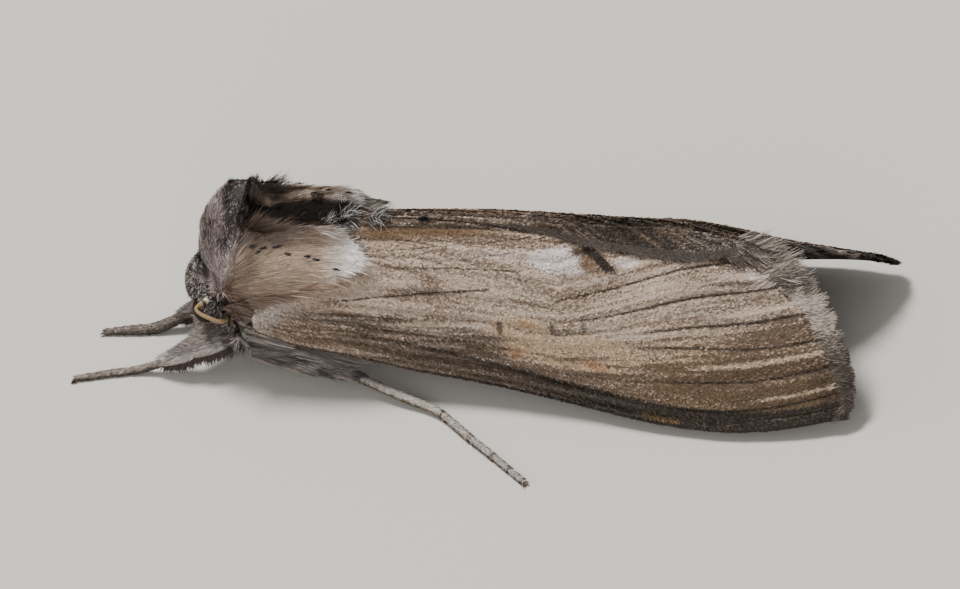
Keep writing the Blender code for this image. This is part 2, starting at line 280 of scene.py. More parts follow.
class Wire:
    def __init__(self, tree, socket):
        self.tree, self.socket = tree, socket

    def __rsub__(self, other):
        return add_node(self.tree, "Math", other, self, operation="SUBTRACT")

    def fade(self, start, end):
        """The same soft step as the function fade."""
        return add_node(self.tree, "MapRange", self, start, end,
                        interpolation_type="SMOOTHSTEP")

    def scaled(self, by):
        return add_node(self.tree, "VectorMath", self, {"Scale": by}, operation="SCALE")

    def parts(self):
        made = self.tree.nodes.new("ShaderNodeSeparateXYZ")
        self.tree.links.new(self.socket, made.inputs[0])
        return [Wire(self.tree, s) for s in made.outputs]


def math_method(operation):
    return lambda self, *others: add_node(self.tree, "Math", self, *others, operation=operation)


for method, operation in MATH.items():
    setattr(Wire, method, math_method(operation))


def join(tree, value, socket):
    """Links a Wire to an input, or sets the input to a plain value."""
    if isinstance(value, Wire):
        tree.links.new(value.socket, socket)
    elif isinstance(value, tuple) and len(socket.default_value) == 4 and len(value) == 3:
        socket.default_value = (*value, 1)
    else:
        socket.default_value = value


def add_node(tree, kind, *values, out=0, **settings):
    """A node with its inputs joined in order, or by name with a dict. Returns its output."""
    made = tree.nodes.new("ShaderNode" + kind)
    for key, value in settings.items():
        setattr(made, key, value)
    for i, value in enumerate(values):
        if isinstance(value, dict):
            for key, inner in value.items():
                join(tree, inner, made.inputs[key])
        elif value is not None:
            join(tree, value, made.inputs[i])
    return Wire(tree, made.outputs[out])


def mix(factor, a, b):
    """Colour a where factor is 0, and b where it is 1."""
    return add_node(factor.tree, "Mix", factor, *[None] * 5, a, b, out=2, data_type="RGBA")


def near(value, centre, half, soft):
    """1 where value is within half of centre, softly 0 beyond soft more."""
    return abs(value - centre).fade(half + soft, half)


def combine(x, y, z):
    return add_node(x.tree, "CombineXYZ", x, y, z)


def noise(vector, scale=1.0, detail=2.0):
    """A noise from 0 to 1."""
    return add_node(vector.tree, "TexNoise",
                    {"Vector": vector, "Scale": scale, "Detail": detail})


# %% [markdown]
# ## Groups and materials
# What several materials share is a node group with named inputs and one output. Each coat's
# material then asks the group for its colour, with what is stored on the blade: the place of
# its root and its chance tone. A hair's tip may be a little lighter than its root.

# %% Groups and materials
def new_group(name, inputs, output, kind):
    """An empty node group: its tree, a Wire for each input, and what sets the output."""
    tree = bpy.data.node_groups.new(name, "ShaderNodeTree")
    for key, socket in inputs.items():
        tree.interface.new_socket(key, in_out="INPUT", socket_type="NodeSocket" + socket)
    tree.interface.new_socket(output, in_out="OUTPUT", socket_type="NodeSocket" + kind)
    start, end = tree.nodes.new("NodeGroupInput"), tree.nodes.new("NodeGroupOutput")
    return tree, {key: Wire(tree, start.outputs[key]) for key in inputs}, lambda value: join(
        tree, value, end.inputs[output])


def new_markings(name):
    """A group that tells the colour at a place, for a blade with a chance tone."""
    return new_group(name, {"Place": "Vector", "Tone": "Float"}, "Color", "Color")


def use_group(tree, group, **values):
    """The group as one node in tree, as a Wire of its output."""
    made = tree.nodes.new("ShaderNodeGroup")
    made.node_tree = group
    for key, value in values.items():
        join(tree, value, made.inputs[key.replace("_", " ")])
    return Wire(tree, made.outputs[0])


def new_material(name, roughness=0.6, **sockets):
    """A material, its tree and its Principled shader. Sockets are set on the shader itself."""
    made = bpy.data.materials.new(name)
    made.use_nodes = True
    shader = made.node_tree.nodes["Principled BSDF"]
    shader.inputs["Roughness"].default_value = roughness
    for key, value in sockets.items():
        shader.inputs[key.replace("_", " ")].default_value = value
    return made, made.node_tree, shader


def feed(shader, key, wire):
    """Joins a Wire to one of the shader's sockets."""
    wire.tree.links.new(wire.socket, shader.inputs[key])


def stored(tree, name):
    """A value stored on the mesh: place is a vector, the others are numbers."""
    return add_node(tree, "Attribute", out=1 if name == "place" else 2, attribute_name=name)


def marked_material(name, group, roughness, tone=None, tip_light=0.0, **sockets):
    """A material that shows a group's markings. Blades bring their own tone."""
    made, tree, shader = new_material(name, roughness, **sockets)
    tone = stored(tree, "tone") if tone is None else tone
    colour = use_group(tree, group, Place=stored(tree, "place"), Tone=tone)
    if tip_light:
        colour = mix(stored(tree, "tip") * tip_light, colour, PALE_LILAC)
    feed(shader, "Base Color", colour)
    return made


# %% [markdown]
# ## The body's markings
# Hair and skin must carry the same markings, or the skin would show between the hairs as
# patches. So the markings are one node group that is asked for the colour at a place on the
# body. The skin asks with its own position, and each hair asks with the place of its root.
# The hood is lilac grey and dark along its back edge.

# %% The hood's markings
HOOD_BACK = ((-8.3, 4.1), (-6.7, 8.0))      # (x, z) of the hood's back edge, low and high
HOOD_FOOT = ((-9.9, 4.85), (-8.0, 4.2))     # and of its lower edge, over the head
(foot_x, foot_z), (foot_end_x, foot_end_z) = HOOD_FOOT
FOOT_FALL = (foot_end_z - foot_z) / (foot_end_x - foot_x)

LILAC, PALE_LILAC, DARK_LILAC = (0.37, 0.295, 0.29), (0.86, 0.75, 0.74), (0.022, 0.014, 0.015)
FAWN, BROWN, WHITE = (0.60, 0.45, 0.325), (0.17, 0.11, 0.072), (1.0, 0.97, 0.95)
FURROW_SHADE, GREY, DARK_GREY = (0.012, 0.009, 0.008), (0.30, 0.26, 0.235), (0.060, 0.050, 0.046)
LEG_GREY, LEG_BROWN, BACK_BROWN = (0.48, 0.43, 0.40), (0.17, 0.12, 0.095), (0.075, 0.049, 0.034)
FAR_GREY, FAR_LEG_SHADE, STRAND_GREY = (0.17, 0.14, 0.115), (0.085, 0.058, 0.043), (0.040, 0.034, 0.031)
FACE_DARK = (0.024, 0.019, 0.016)


def line_x(knots, z):
    """x on the straight line through two (x, z) points: z may be an array or a Wire."""
    (x0, z0), (x1, z1) = knots
    return (z - z0) * ((x1 - x0) / (z1 - z0)) + x0


def over_foot(x, z):
    """How high a place is over the line where the hood meets the head."""
    return z - ((x - foot_x) * FOOT_FALL + foot_z)


body_markings, given, put = new_markings("body markings")
tone = given["Tone"]
x, across, z = (part * (1 / MM) for part in given["Place"].parts())
y = abs(across)
cloud = noise(given["Place"], 900, 3)
locks = noise(given["Place"], 2600)
strands = noise(combine(x * 0.35, across * 5, z * 5))
behind_hood = (x - line_x(HOOD_BACK, z)) + (cloud - 0.5) * 0.35
over_head = over_foot(x, z)
hood_dark = (behind_hood + z.fade(6.6, 7.6) * 0.65).fade(-1.0, -0.6) * z.fade(5.7, 6.2)
# painted light: on the far side, where the hood lies in shade, its dark patch is 40 % weaker
hood_dark = hood_dark * (across.fade(0.7, 0.2) * 0.4 + 0.6)
# painted highlight: a pale streak along the hood's back edge, on the near side only
edge_highlight = behind_hood.fade(-0.2, -0.1) * near(z, 6.3, 0.3, 0.3) * across.fade(0.2, -0.3)
hood = mix((cloud + tone * 0.25).fade(0.45, 0.8), LILAC, PALE_LILAC)
for mask, shade in (
        (behind_hood.fade(-1.7, -1.0) * 0.7, LILAC),
        (hood_dark * (tone.fade(0.97, 0.82) * 0.6 + 0.37), DARK_LILAC),
        (z.fade(7.4, 7.9) * 0.6, DARK_GREY),
        (edge_highlight * 0.55, PALE_LILAC),
        # painted shade along the groove where the hood meets the head
        (over_head.fade(0.42, 0.05) * 0.75, DARK_LILAC)):
    hood = mix(mask, hood, shade)
print("hood markings:", len(body_markings.nodes), "nodes")

# %% [markdown]
# The shoulders are fawn and end in white. Their inner rims are brown, and a near-black band
# of painted shade runs down the middle of the back, in place of the shadowed furrow between
# them. The right shoulder is greyer than the left one.

# %% Shoulder and back markings
low = (y * 0.8 - z + 3.3 + (cloud - 0.5) * 1.2)
white_end = (x - y * 0.3 + 4.7 + (cloud - 0.5) * 0.9).fade(-0.9, 0.6) * z.fade(4.9, 5.6)
band_edge = y + (cloud - 0.5) * 0.3
on_right = across.fade(-0.3, 0.3)
rim = ((band_edge + (x + 6.5) * 0.2).fade(1.75, 1.25) * across.fade(0.3, -0.3)).most(
    near(band_edge, 0.6, 0.2, 0.15) * on_right)
rim = rim.most(near(band_edge, 0.9, 0.4, 0.2) * on_right * x.fade(-6.1, -6.5))
rim = rim * x.fade(-3.2, -4.0) * z.fade(5.8, 6.2)
back = mix(strands.fade(0.35, 0.65) * 0.35, FAWN, BROWN)
for mask, shade in (
        (low.fade(-1.2, 0.6) * (x.fade(-4.9, -6.4) * 0.55 + 0.45), BROWN),
        (behind_hood.fade(0.55, 0.15) * 0.55, BROWN),
        (white_end, WHITE),
        (rim * 0.9, BACK_BROWN),
        (across.fade(0.7, 1.0) * (x.fade(-4.6, -3.8) * 0.35 + 0.5), FAR_GREY),
        # painted shade: the filled furrow down the middle of the back is near black
        (band_edge.fade(0.72, 0.55) * z.fade(5.6, 6.0), FURROW_SHADE)):
    back = mix(mask, back, shade)
grey = mix(strands.fade(0.46, 0.58), STRAND_GREY, GREY)
trunk = mix((z + x.fade(-6.4, -7.4) * 0.7).fade(3.4, 4.3), grey, back)
trunk = mix(x.fade(-3.6, -3.0) * z.fade(5.0, 4.6), trunk, grey)

# %% [markdown]
# The front legs are pale grey, brown along their upper edge and dark below, and the far one
# is painted darker as shade. The face is a salt-and-pepper grey. At the end the parts are put
# together by where they are.

# %% Leg and face markings
shin = z - (x * 0.385 + 5.35)       # how high a place is over the line of the shin
fore_leg = x.fade(-8.9, -9.2) * z.fade(2.3, 2.1)
leg_strands = noise(combine(x * 0.6, across * 7, shin * 7))
leg = mix(shin.fade(0.10, 0.22) * 0.75, LEG_GREY, LEG_BROWN)
for mask, shade in (
        (near(shin, 0.14, 0.02, 0.05) * 0.6, DARK_GREY),
        # painted shade: the far (right) front leg is darker
        (across.fade(0.2, 0.6) * 0.9, FAR_LEG_SHADE),
        (shin.fade(-0.32, -0.42) * 0.92, DARK_GREY),
        (leg_strands.fade(0.60, 0.42) * 0.5, DARK_GREY)):
    leg = mix(mask, leg, shade)
trunk = mix(fore_leg, trunk, leg)
face = mix((tone + (locks - 0.5) * 1.1).fade(0.55, 0.90), FACE_DARK, GREY)
under_hood = over_head.fade(0.1, -0.1) * x.fade(-8.3, -8.7) * z.fade(1.8, 2.1)
colour = mix(behind_hood.fade(-0.1, 0.05), hood, trunk)
colour = mix(under_hood, colour, face)
colour = mix(x.fade(-8.3, -8.7) * z.fade(2.2, 2.0), colour, trunk)
bright = tone * tone * 1.1 + 0.5 + (locks - 0.5) * 0.6
put(colour.scaled(bright.most(0.15)))
print("body markings:", len(body_markings.nodes), "nodes")

# %% [markdown]
# ## One skin
# Under the hair the head, neck, trunk, shoulders and upper legs are one body. The plain model
# parts them with thin cuts, and the skin closes these. It could be sculpted anew, but it must
# fit the plain model, so it starts from copies of those parts. They are swollen until they
# meet, remeshed into one surface and smoothed. Then each point is drawn in to the depth where
# the hair roots are, deep on the body and shallow on the thin parts.

# %% The skin's flesh
LEG_PARTS = [f"{leg}_{part}_{name}" for leg in ("fore", "mid", "hind")
             for part in ("femur", "tibia") for name in SIDES]
FLESH = ["head", "collar", "thorax", "abdomen"] + LEG_PARTS + [
    f"{part}_{name}" for name in SIDES for part in ("tegula", "palp")]
SWELL, VOXEL = 0.16, 0.10
WELD = 2e-6     # m
BODY_DEPTH, HEAD_DEPTH, LEG_DEPTH, PALP_DEPTH, SHIN_THIN = 0.24, 0.13, 0.11, 0.06, 0.06

# centre and radii of flesh that the plain model leaves out: cheeks, throat, the middle of the
# back, the long raised rims of the shoulders, and the crest's front
PADS = [((-9.12, 1.12, 3.36), (0.60, 0.62, 0.50)), ((-9.12, -1.12, 3.36), (0.60, 0.62, 0.50)),
        ((-9.0, 0, 2.3), (0.85, 1.0, 0.55)), ((-5.3, 0, 6.62), (2.3, 0.85, 0.42)),
        ((-5.25, 1.08, 6.60), (2.15, 0.55, 0.64)), ((-5.25, -1.08, 6.60), (2.15, 0.55, 0.64)),
        ((-7.40, 0, 7.80), (0.78, 0.75, 0.72))]
# the same on both sides: the hips
SIDE_PADS = [((-7.6, 1.30, 2.20), (1.2, 0.80, 0.80)), ((-5.8, 1.50, 1.80), (1.8, 0.72, 0.75))]
# and the folded thigh of a front leg, as a row of balls from behind the head to over the shin
THIGH, THIGH_BALLS = ((-9.55, 0.95, 1.80), (-11.15, 1.10, 0.98)), 12
for share in np.linspace(0, 1, THIGH_BALLS):
    SIDE_PADS.append((tuple(a + (b - a) * share for a, b in zip(*THIGH)),
                      (0.47 - 0.05 * share,) * 3))
PADS += [((x, side * y, z), radii) for (x, y, z), radii in SIDE_PADS for side in SIDES.values()]


def swollen(node):
    """A node's mesh, its corners welded and pushed outwards along their normals."""
    bm = bmesh.new()
    bm.from_mesh(frame["nodes"][node].data)
    bmesh.ops.remove_doubles(bm, verts=bm.verts, dist=WELD)
    bmesh.ops.recalc_face_normals(bm, faces=bm.faces)
    bm.normal_update()
    for v in bm.verts:
        v.co += v.normal * SWELL * MM
    mesh = bpy.data.meshes.new("swollen")
    bm.to_mesh(mesh)
    bm.free()
    return mesh


flesh = bmesh.new()
for centre, radii in PADS:
    bmesh.ops.create_uvsphere(
        flesh, u_segments=32, v_segments=20, radius=MM,
        matrix=Matrix.Translation(Vector(centre) * MM) @ Matrix.Diagonal((*radii, 1)))
for node in FLESH:
    part = swollen(node)
    flesh.from_mesh(part)
    bpy.data.meshes.remove(part)
mesh = bpy.data.meshes.new("rough")
flesh.to_mesh(mesh)
flesh.free()
rough = link(bpy.data.objects.new("rough", mesh))
print("flesh:", len(FLESH), "parts and", len(PADS), "pads")

# %% [markdown]
# The Remesh modifier makes one surface of the overlapping parts, and Smooth softens it. Their
# result is copied into a mesh of its own, so that its points can be moved after that.

# %% One surface, drawn in
def evaluated_copy(obj, name):
    """A new object with obj's mesh after its modifiers. obj itself goes."""
    bpy.context.view_layer.update()
    graph = bpy.context.evaluated_depsgraph_get()
    mesh = bpy.data.meshes.new_from_object(obj.evaluated_get(graph))
    bpy.data.objects.remove(obj)
    return link(bpy.data.objects.new(name, mesh))


def soften(obj, factor, times):
    smooth = obj.modifiers.new("soften", "SMOOTH")
    smooth.factor, smooth.iterations = factor, times


def arrays_of(obj):
    """The points in mm and the normals of a mesh object."""
    vertices = obj.data.vertices
    points, normals = np.empty((2, len(vertices) * 3), np.float32)
    vertices.foreach_get("co", points)
    vertices.foreach_get("normal", normals)
    return points.reshape(-1, 3).astype(float) / MM, normals.reshape(-1, 3).astype(float)


remesh = rough.modifiers.new("one surface", "REMESH")
remesh.mode, remesh.voxel_size = "VOXEL", VOXEL * MM
soften(rough, 0.6, 14)
skin = evaluated_copy(rough, "softened")

points, normals = arrays_of(skin)
px, pz = points[:, 0], points[:, 2]
depth = BODY_DEPTH + (LEG_DEPTH - BODY_DEPTH) * fade(pz, 2.2, 1.7)
depth += (HEAD_DEPTH - depth) * fade(px, -8.7, -9.0) * fade(pz, 4.9, 4.5) * fade(pz, 1.9, 2.2)
depth += (PALP_DEPTH - depth) * fade(px, -9.6, -9.9) * fade(pz, 2.5, 2.3) * fade(pz, 1.5, 1.7)
depth += SHIN_THIN * fade(px, -8.4, -7.8) * fade(pz, 1.9, 1.6)
points -= normals * (SWELL + depth)[:, None]
skin.data.vertices.foreach_set("co", (points * MM).astype(np.float32).ravel())
soften(skin, 0.5, 3)
skin = evaluated_copy(skin, "moth_skin")
skin.data.shade_smooth()
skin.data.materials.clear()
print("skin:", len(skin.data.polygons), "faces")

# %% [markdown]
# Between the hairs the skin shows as a dull ground. It carries the body's markings and a
# very fine grain, which is bump, as it is much smaller than a hair.

# %% The skin's finish
SKIN_TONE = 0.25
skin_finish, tree, shader = new_material("moth skin", roughness=0.8)
where = add_node(tree, "NewGeometry")
feed(shader, "Base Color", use_group(tree, body_markings, Place=where, Tone=SKIN_TONE))
feed(shader, "Normal", add_node(
    tree, "Bump", {"Strength": 0.4, "Distance": 0.00003, "Height": noise(where, 9000)}))
dress(skin, skin_finish)
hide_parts(*FLESH)

# %% [markdown]
# ## Where hair grows
# Hair roots are scattered over the skin by area, so that big faces get more. Each coat then
# keeps the roots of its own region. A root's place on the unwrap comes from the skin's own
# shape: how far along the body it is, and the angle round the body's long axis.

# %% Scatter roots over a surface
def surface_of(obj):
    """The points in mm, the normals and the triangles of a mesh object."""
    mesh = obj.data
    mesh.calc_loop_triangles()
    corners = np.empty(len(mesh.loop_triangles) * 3, np.int32)
    mesh.loop_triangles.foreach_get("vertices", corners)
    return *arrays_of(obj), corners.reshape(-1, 3)


SKIN = surface_of(skin)
BODY_AXIS_Z = 3.6
TURN = 2 * math.pi


def scatter(per_mm2, keep, seed, surface=SKIN):
    """Roots and normals where keep(points, normals) is over a chance value."""
    points, normals, triangles = surface
    a, b, c = (points[triangles[:, k]] for k in range(3))
    area = np.linalg.norm(np.cross(b - a, c - a), axis=1) / 2
    chance = np.random.default_rng(seed)
    count = int(area.sum() * per_mm2 * (1))
    pick = chance.choice(len(area), count, p=area / area.sum())
    u, v = chance.random((2, count, 1))
    fold = u + v > 1
    u, v = np.where(fold, 1 - u, u), np.where(fold, 1 - v, v)
    root = a[pick] + u * (b - a)[pick] + v * (c - a)[pick]
    na, nb, nc = (normals[triangles[pick, k]] for k in range(3))
    normal = unit(na + u * (nb - na) + v * (nc - na))
    kept = keep(root, normal) > chance.random(count)
    return root[kept], normal[kept]


def within_unwrap(along, across):
    """A place on the unwrap from two shares, with a narrow margin round it."""
    return np.stack([0.02 + 0.96 * along, 0.02 + 0.96 * across], 1)


def body_spot(root):
    """The root's place on an unwrap of the body: along it, and round its long axis."""
    around = np.arctan2(root[:, 1], root[:, 2] - BODY_AXIS_Z) / TURN + 0.5
    return within_unwrap((root[:, 0] + 11) / 23, around)


def sway(root, seed, size=0.9):
    """A smooth wandering direction, so that neighbouring hairs lean together in locks."""
    chance = np.random.default_rng(seed)
    total = np.zeros_like(root)
    for _ in range(6):
        wave = chance.normal(0, 1 / size, 3)
        total += np.sin(root @ wave * TURN / 1.5 + chance.random() * 6.3)[:, None] * (
            chance.normal(0, 1, 3))
    return total / 4


# %% [markdown]
# ## Growing a coat
# One function grows every coat of the body. It is told how dense the coat is, where it grows,
# which way it lies and how long it is. Hair is cut short where it would stand out over the
# moth's true height. Tilt flattens the normals to one side, so that long hair on a round
# bulge stays parallel and doesn't spread like a brush.

# %% Grow one coat
# how high hair may reach, by x, and how much lower the crest is per mm to the side
HAIR_TOP = ((-7.9, 8.34), (-7.2, 8.27), (-6.85, 8.13), (-6.5, 7.40), (-5.3, 7.22), (-4.6, 6.9),
            (-3.9, 6.7), (-3.3, 6.5), (0, 6.5))
CREST_FALL = 0.9


def room_above(root):
    crest = fade(root[:, 0], -6.6, -7.0) * fade(root[:, 2], 6.5, 7.2)
    return profile(root[:, 0], HAIR_TOP) - CREST_FALL * crest * np.abs(root[:, 1]) - root[:, 2]


def for_roots(value, root):
    """value for each root: it may be a number or a function of the roots."""
    return value(root) if callable(value) else np.full(len(root), float(value))


def grow(name, finish, *, per_mm2, keep, lie, length, width, rise, seed, widths=HAIR,
         radius=3.0, sway_by=0.15, jitter=0.12, curl=0.2, spot_of=body_spot, tilt=(1, 1, 1)):
    """One coat piece: scattered blades that ride on the body."""
    root, normal = scatter(per_mm2, keep, seed)
    chance = np.random.default_rng(seed + 1)
    n = len(root)
    way = lie(root, normal) + sway(root, seed) * sway_by + chance.normal(0, jitter, (n, 3))
    normal = unit(normal * tilt)
    spread = chance.normal(1, 0.16, n).clip(0.5, 1.5)
    way = unit(way)
    size, lift = for_roots(length, root) * spread, for_roots(rise, root)
    room = (room_above(root) + chance.normal(0, 0.03, n)).clip(0.04)
    cut = np.minimum(1, room / (way[:, 2] * size + lift * normal[:, 2]).clip(0.01))
    made = blades(name, root, normal, way, size * cut, width * spread, lift * cut, widths,
                  root * MM, chance.random(n), spot_of(root), seed + 2, radius, curl)
    dress(made, finish)


# %% [markdown]
# ## The hood
# Behind the head this moth raises a hood of long flat hair-scales, drawn up to a crest. They
# point up and lean back, pressed onto the surface. Near the top they are shortened, so that
# the crest ends at its true height.

# %% Grow the hood
def ahead_of_hood_back(p):
    return line_x(HOOD_BACK, p[:, 2]) - p[:, 0]


def over_head_line(p):
    return over_foot(p[:, 0], p[:, 2])


def hood_front(p):
    return fade(ahead_of_hood_back(p), 0.5, 0.9)


def hood_lie(p, n):
    lean = fade(p[:, 2], 7.0, 8.0) * 0.35 - hood_front(p) * fade(p[:, 2], 6.7, 7.2) * 0.30
    return np.stack([0.30 + lean, 0 * lean, 1 + 0 * lean], 1)


hood_finish = marked_material("hood hair", body_markings, 0.5, tip_light=0.03,
                              Specular_IOR_Level=0.35)
grow("coat_hood", hood_finish, per_mm2=1200, lie=hood_lie,
     keep=lambda p, n: fade(ahead_of_hood_back(p), -0.3, 0.0) * fade(
         over_head_line(p), -0.15, 0.05),
     length=lambda p: 0.42 + fade(p[:, 2], 6.6, 7.4) * (0.15 + 0.45 * hood_front(p)),
     width=0.042,
     rise=lambda p: 0.11 + 0.16 * fade(ahead_of_hood_back(p), 0.6, 1.3) * fade(
         p[:, 2], 5.2, 6.2),
     seed=11, sway_by=0.22)

# %% [markdown]
# ## Shoulders and back
# The shoulder tufts, the tegulae, are long soft hair. It fans out from the lower front corner
# and sweeps back over the wing roots, where its tips end in ragged points. Between them the
# hair of the back is near black: painted shade of the furrow, which the back's pad fills flush.

# %% Grow the shoulders and the back
# (z, x) where the shoulder's tips end, from its low edge to its high one
SHOULDER_END = ((4.7, -4.5), (5.3, -3.75), (5.55, -3.1), (5.8, -2.75), (6.1, -3.0), (6.5, -3.4))


def behind_hood_back(p):
    return fade(ahead_of_hood_back(p), 0.05, -0.1)


def room_behind(p):
    """How far back a shoulder hair may reach."""
    ragged = 0.13 * np.sin(p[:, 2] * 37 + p[:, 1] * 9) + 0.08 * np.sin(p[:, 2] * 71)
    return profile(p[:, 2], SHOULDER_END) + ragged - p[:, 0]


def shoulder_side(p, n):
    low = 3.6 - 0.7 * fade(p[:, 0], -6.4, -7.4)
    return fade(n[:, 2], -0.35, -0.1) * fade(p[:, 2] - low, 0, 0.4)


def on_shoulder(p, n):
    """The right shoulder has a bare dark pocket behind the hood."""
    pocket = (p[:, 1] > 0) * (p[:, 1] < 1.0) * (p[:, 0] < -6.2) * (p[:, 2] < 6.95)
    return behind_hood_back(p) * shoulder_side(p, n) * fade(np.abs(p[:, 1]), 0.5, 0.65) * (
        room_behind(p) > 0.1) * ~pocket


def shoulder_lie(p, n):
    climb = 0.95 * fade(p[:, 0], -5.2, -7.6) * fade(p[:, 2], 4.6, 6.2)
    drop = 0.14 * fade(p[:, 0], -5.5, -3.5) + 0.22 * fade(p[:, 2], 5.4, 4.0)
    return np.stack([1 + 0 * climb, 0 * climb, climb - drop], 1)


def on_back(p, n):
    return behind_hood_back(p) * fade(np.abs(p[:, 1]), 0.8, 0.6) * (n[:, 2] > 0.1) * (
        p[:, 0] < -2.4) * (p[:, 2] > 5.5)


shoulder_finish = marked_material("shoulder hair", body_markings, 0.38, tip_light=0.06)
for name, side in SIDES.items():
    grow(f"coat_shoulder_{name}", shoulder_finish, per_mm2=1300,
         keep=lambda p, n: on_shoulder(p, n) * (p[:, 1] * side > 0), lie=shoulder_lie,
         length=lambda p: np.minimum(0.95 + 0.35 * fade(p[:, 0], -7, -5),
                                     room_behind(p).clip(0.1)),
         width=0.028, rise=0.10, seed=31 + side, radius=8.0, sway_by=0.05, jitter=0.05,
         curl=0.08, tilt=(0.2, 1, 1))
back_finish = marked_material("back hair", body_markings, 0.85, Specular_IOR_Level=0.2)
grow("coat_back", back_finish, per_mm2=1500, keep=on_back,
     lie=lambda p, n: np.array([1.0, 0, 0.12]) - p * (0, 0.5, 0),
     length=0.75, width=0.04, rise=0.22, seed=41, radius=6.0)

# %% [markdown]
# ## Spots and tufts
# Each shoulder carries a few small spots. A spot is a clump of black hair tips that lie on top
# of the fawn hair. On the left shoulder their places are given on the roof's slope. The right
# ones stand on its inner rim. A black tuft stands on the ridge, and another on the back.

# %% Black spots
# (x, share of the slope) of each spot, front to back
SPOTS = ((-6.80, 0.35), (-6.58, 0.38), (-6.38, 0.35), (-5.90, 0.33), (-5.44, 0.36),
         (-4.72, 0.37), (-4.42, 0.38), (-3.70, 0.43))
SPOT_LIFT, HAIRS_PER_SPOT = 0.47, 13
RIGHT_SPOT_Y, RIGHT_SPOT_Z = 0.92, ((-7, 7.28), (-5.5, 7.23), (-4.6, 6.96), (-3.7, 6.78))
# a black tuft on each side: its centre, how far it spreads, and how many hairs it has
TUFTS = {LEFT: ((-0.63, -0.19, 6.54), (0.08, 0.06, 0.03), 75),
         RIGHT: ((-4.8, 0.60, 6.95), (0.12, 0.10, 0.06), 110)}
BLUNT_HAIR = (0.5, 0.9, 1.0, 0)

black_finish, tree, shader = new_material("black hair", 0.5)
shader.inputs["Base Color"].default_value = (0.008, 0.006, 0.006, 1)
for name, side in SIDES.items():
    chance = np.random.default_rng(81 + side)
    x, share = (np.repeat(column, HAIRS_PER_SPOT) for column in np.array(SPOTS).T)
    point, normal, along, across = roof_axes(x, share, side)
    n = len(x)
    root = point + normal * SPOT_LIFT + unit(across) * chance.normal(0, 0.022, (n, 1))
    lie = shoulder_lie(root, None)
    if side == RIGHT:
        root = np.stack([x, RIGHT_SPOT_Y + chance.normal(0, 0.02, n),
                         profile(x, RIGHT_SPOT_Z)], 1)
    centre, reach, hairs = TUFTS[side]
    root = np.vstack([root, np.array(centre) + chance.normal(0, 1, (hairs, 3)) * reach])
    normal = np.vstack([normal, np.tile([0, 0.3, 1.0], (hairs, 1))])
    lie = np.vstack([lie, np.tile([1.0, 0, 0.35], (hairs, 1))])
    n = len(root)
    root = root + [1.0, 0, 0] * chance.uniform(-0.16, 0.0, (n, 1))
    lie = unit(lie + chance.normal(0, 0.08, lie.shape))
    made = blades(f"coat_spots_{name}", root, unit(normal), lie, chance.uniform(0.14, 0.28, n),
                  0.034, 0.04, BLUNT_HAIR, root * MM, chance.random(n), body_spot(root),
                  91 + side, radius=5.0)
    dress(made, black_finish)

# %% [markdown]
# Where the back ends, a loose tuft of black and pale hair curls over the ridge of the wings.
# Some pale strands stand up from it in small bunches.

# %% The curled tuft
CURLED_HAIR = (0.7, 1.0, 0.8, 0.5, 0)
LOOSE_HAIRS, STRAND_HAIRS = 320, 34
STRANDS = ((-4.15, -0.50, 6.62), (-3.6, -0.36, 6.66), (-2.45, -0.12, 6.58))

chance = np.random.default_rng(95)
n = LOOSE_HAIRS
x = chance.choice([-3.65, -2.5], n, p=[0.6, 0.4]) + chance.normal(0, 0.17, n)
side_of = chance.uniform(-1, 0.6, n)
share = np.abs(side_of) * 0.13 * fade(x, -1.4, -3.6)
point, normal, along, across = (
    np.where((side_of < 0)[:, None], a, b)
    for a, b in zip(roof_axes(x, share, LEFT), roof_axes(x, share, RIGHT)))
root = point + normal * 0.05
over = np.stack([0 * x, side_of * 0.9, 0.3 + 0 * x], 1)
lie = unit(along + over + chance.normal(0, 0.25, (n, 3)))
paleness = chance.random(n)
many = STRAND_HAIRS * len(STRANDS)
centres = np.repeat(STRANDS, STRAND_HAIRS, 0)
root = np.vstack([root, centres + chance.normal(0, 1, (many, 3)) * (0.12, 0.11, 0.04)])
normal = np.vstack([normal, np.tile([-0.65, -0.55, 0.5], (many, 1))])
lie = np.vstack([lie, (0.75, -0.1, 0.85) + chance.normal(0, 0.2, (many, 3))])
paleness = np.concatenate([paleness, chance.uniform(0.55, 1.15, many)])
n += many
curl_finish, tree, shader = new_material("curled hair", 0.35)
light = (stored(tree, "tone") + stored(tree, "tip") * 0.3).fade(0.75, 1.2)
feed(shader, "Base Color", mix(light, (0.020, 0.016, 0.015), (0.52, 0.49, 0.47)))
made = blades("coat_curled_tuft", root, unit(normal), lie, chance.uniform(0.35, 0.75, n), 0.022,
              0.16, CURLED_HAIR, root * MM, paleness, body_spot(root), 96,
              radius=chance.uniform(0.5, 3.0, n), curl=0.3)
dress(made, curl_finish)

# %% [markdown]
# ## The legs' bones
# The hair of a leg runs along it towards the foot. So each root is told which leg bone is
# nearest, how far away it is and which way it points. The coats of the body use this too:
# they stop where a leg begins.

# %% Find the nearest bone
# from the hip to the heel of the right legs, in mm; the left ones mirror them
BONES = (
    ((-8.4, 0.95, 1.7), (-9.4, 1.3, 1.55), (-10.25, 1.45, 1.33), (-11.2, 1.32, 0.9),
     (-12.1, 1.18, 0.52)),
    ((-5.9, 0.8, 1.36), (-7.7, 1.4, 1.45), (-7.9, 1.99, 1.64), (-6.5, 2.08, 1.26),
     (-5, 2.15, 0.96), (-3.8, 2.22, 0.74)),
    ((-4.5, 0.75, 1.42), (-3.2, 1.15, 1.1), (-2.15, 1.38, 0.9), (0.2, 1.65, 0.6),
     (2.15, 1.98, 0.42)),
)
FAR_AWAY = 9.0


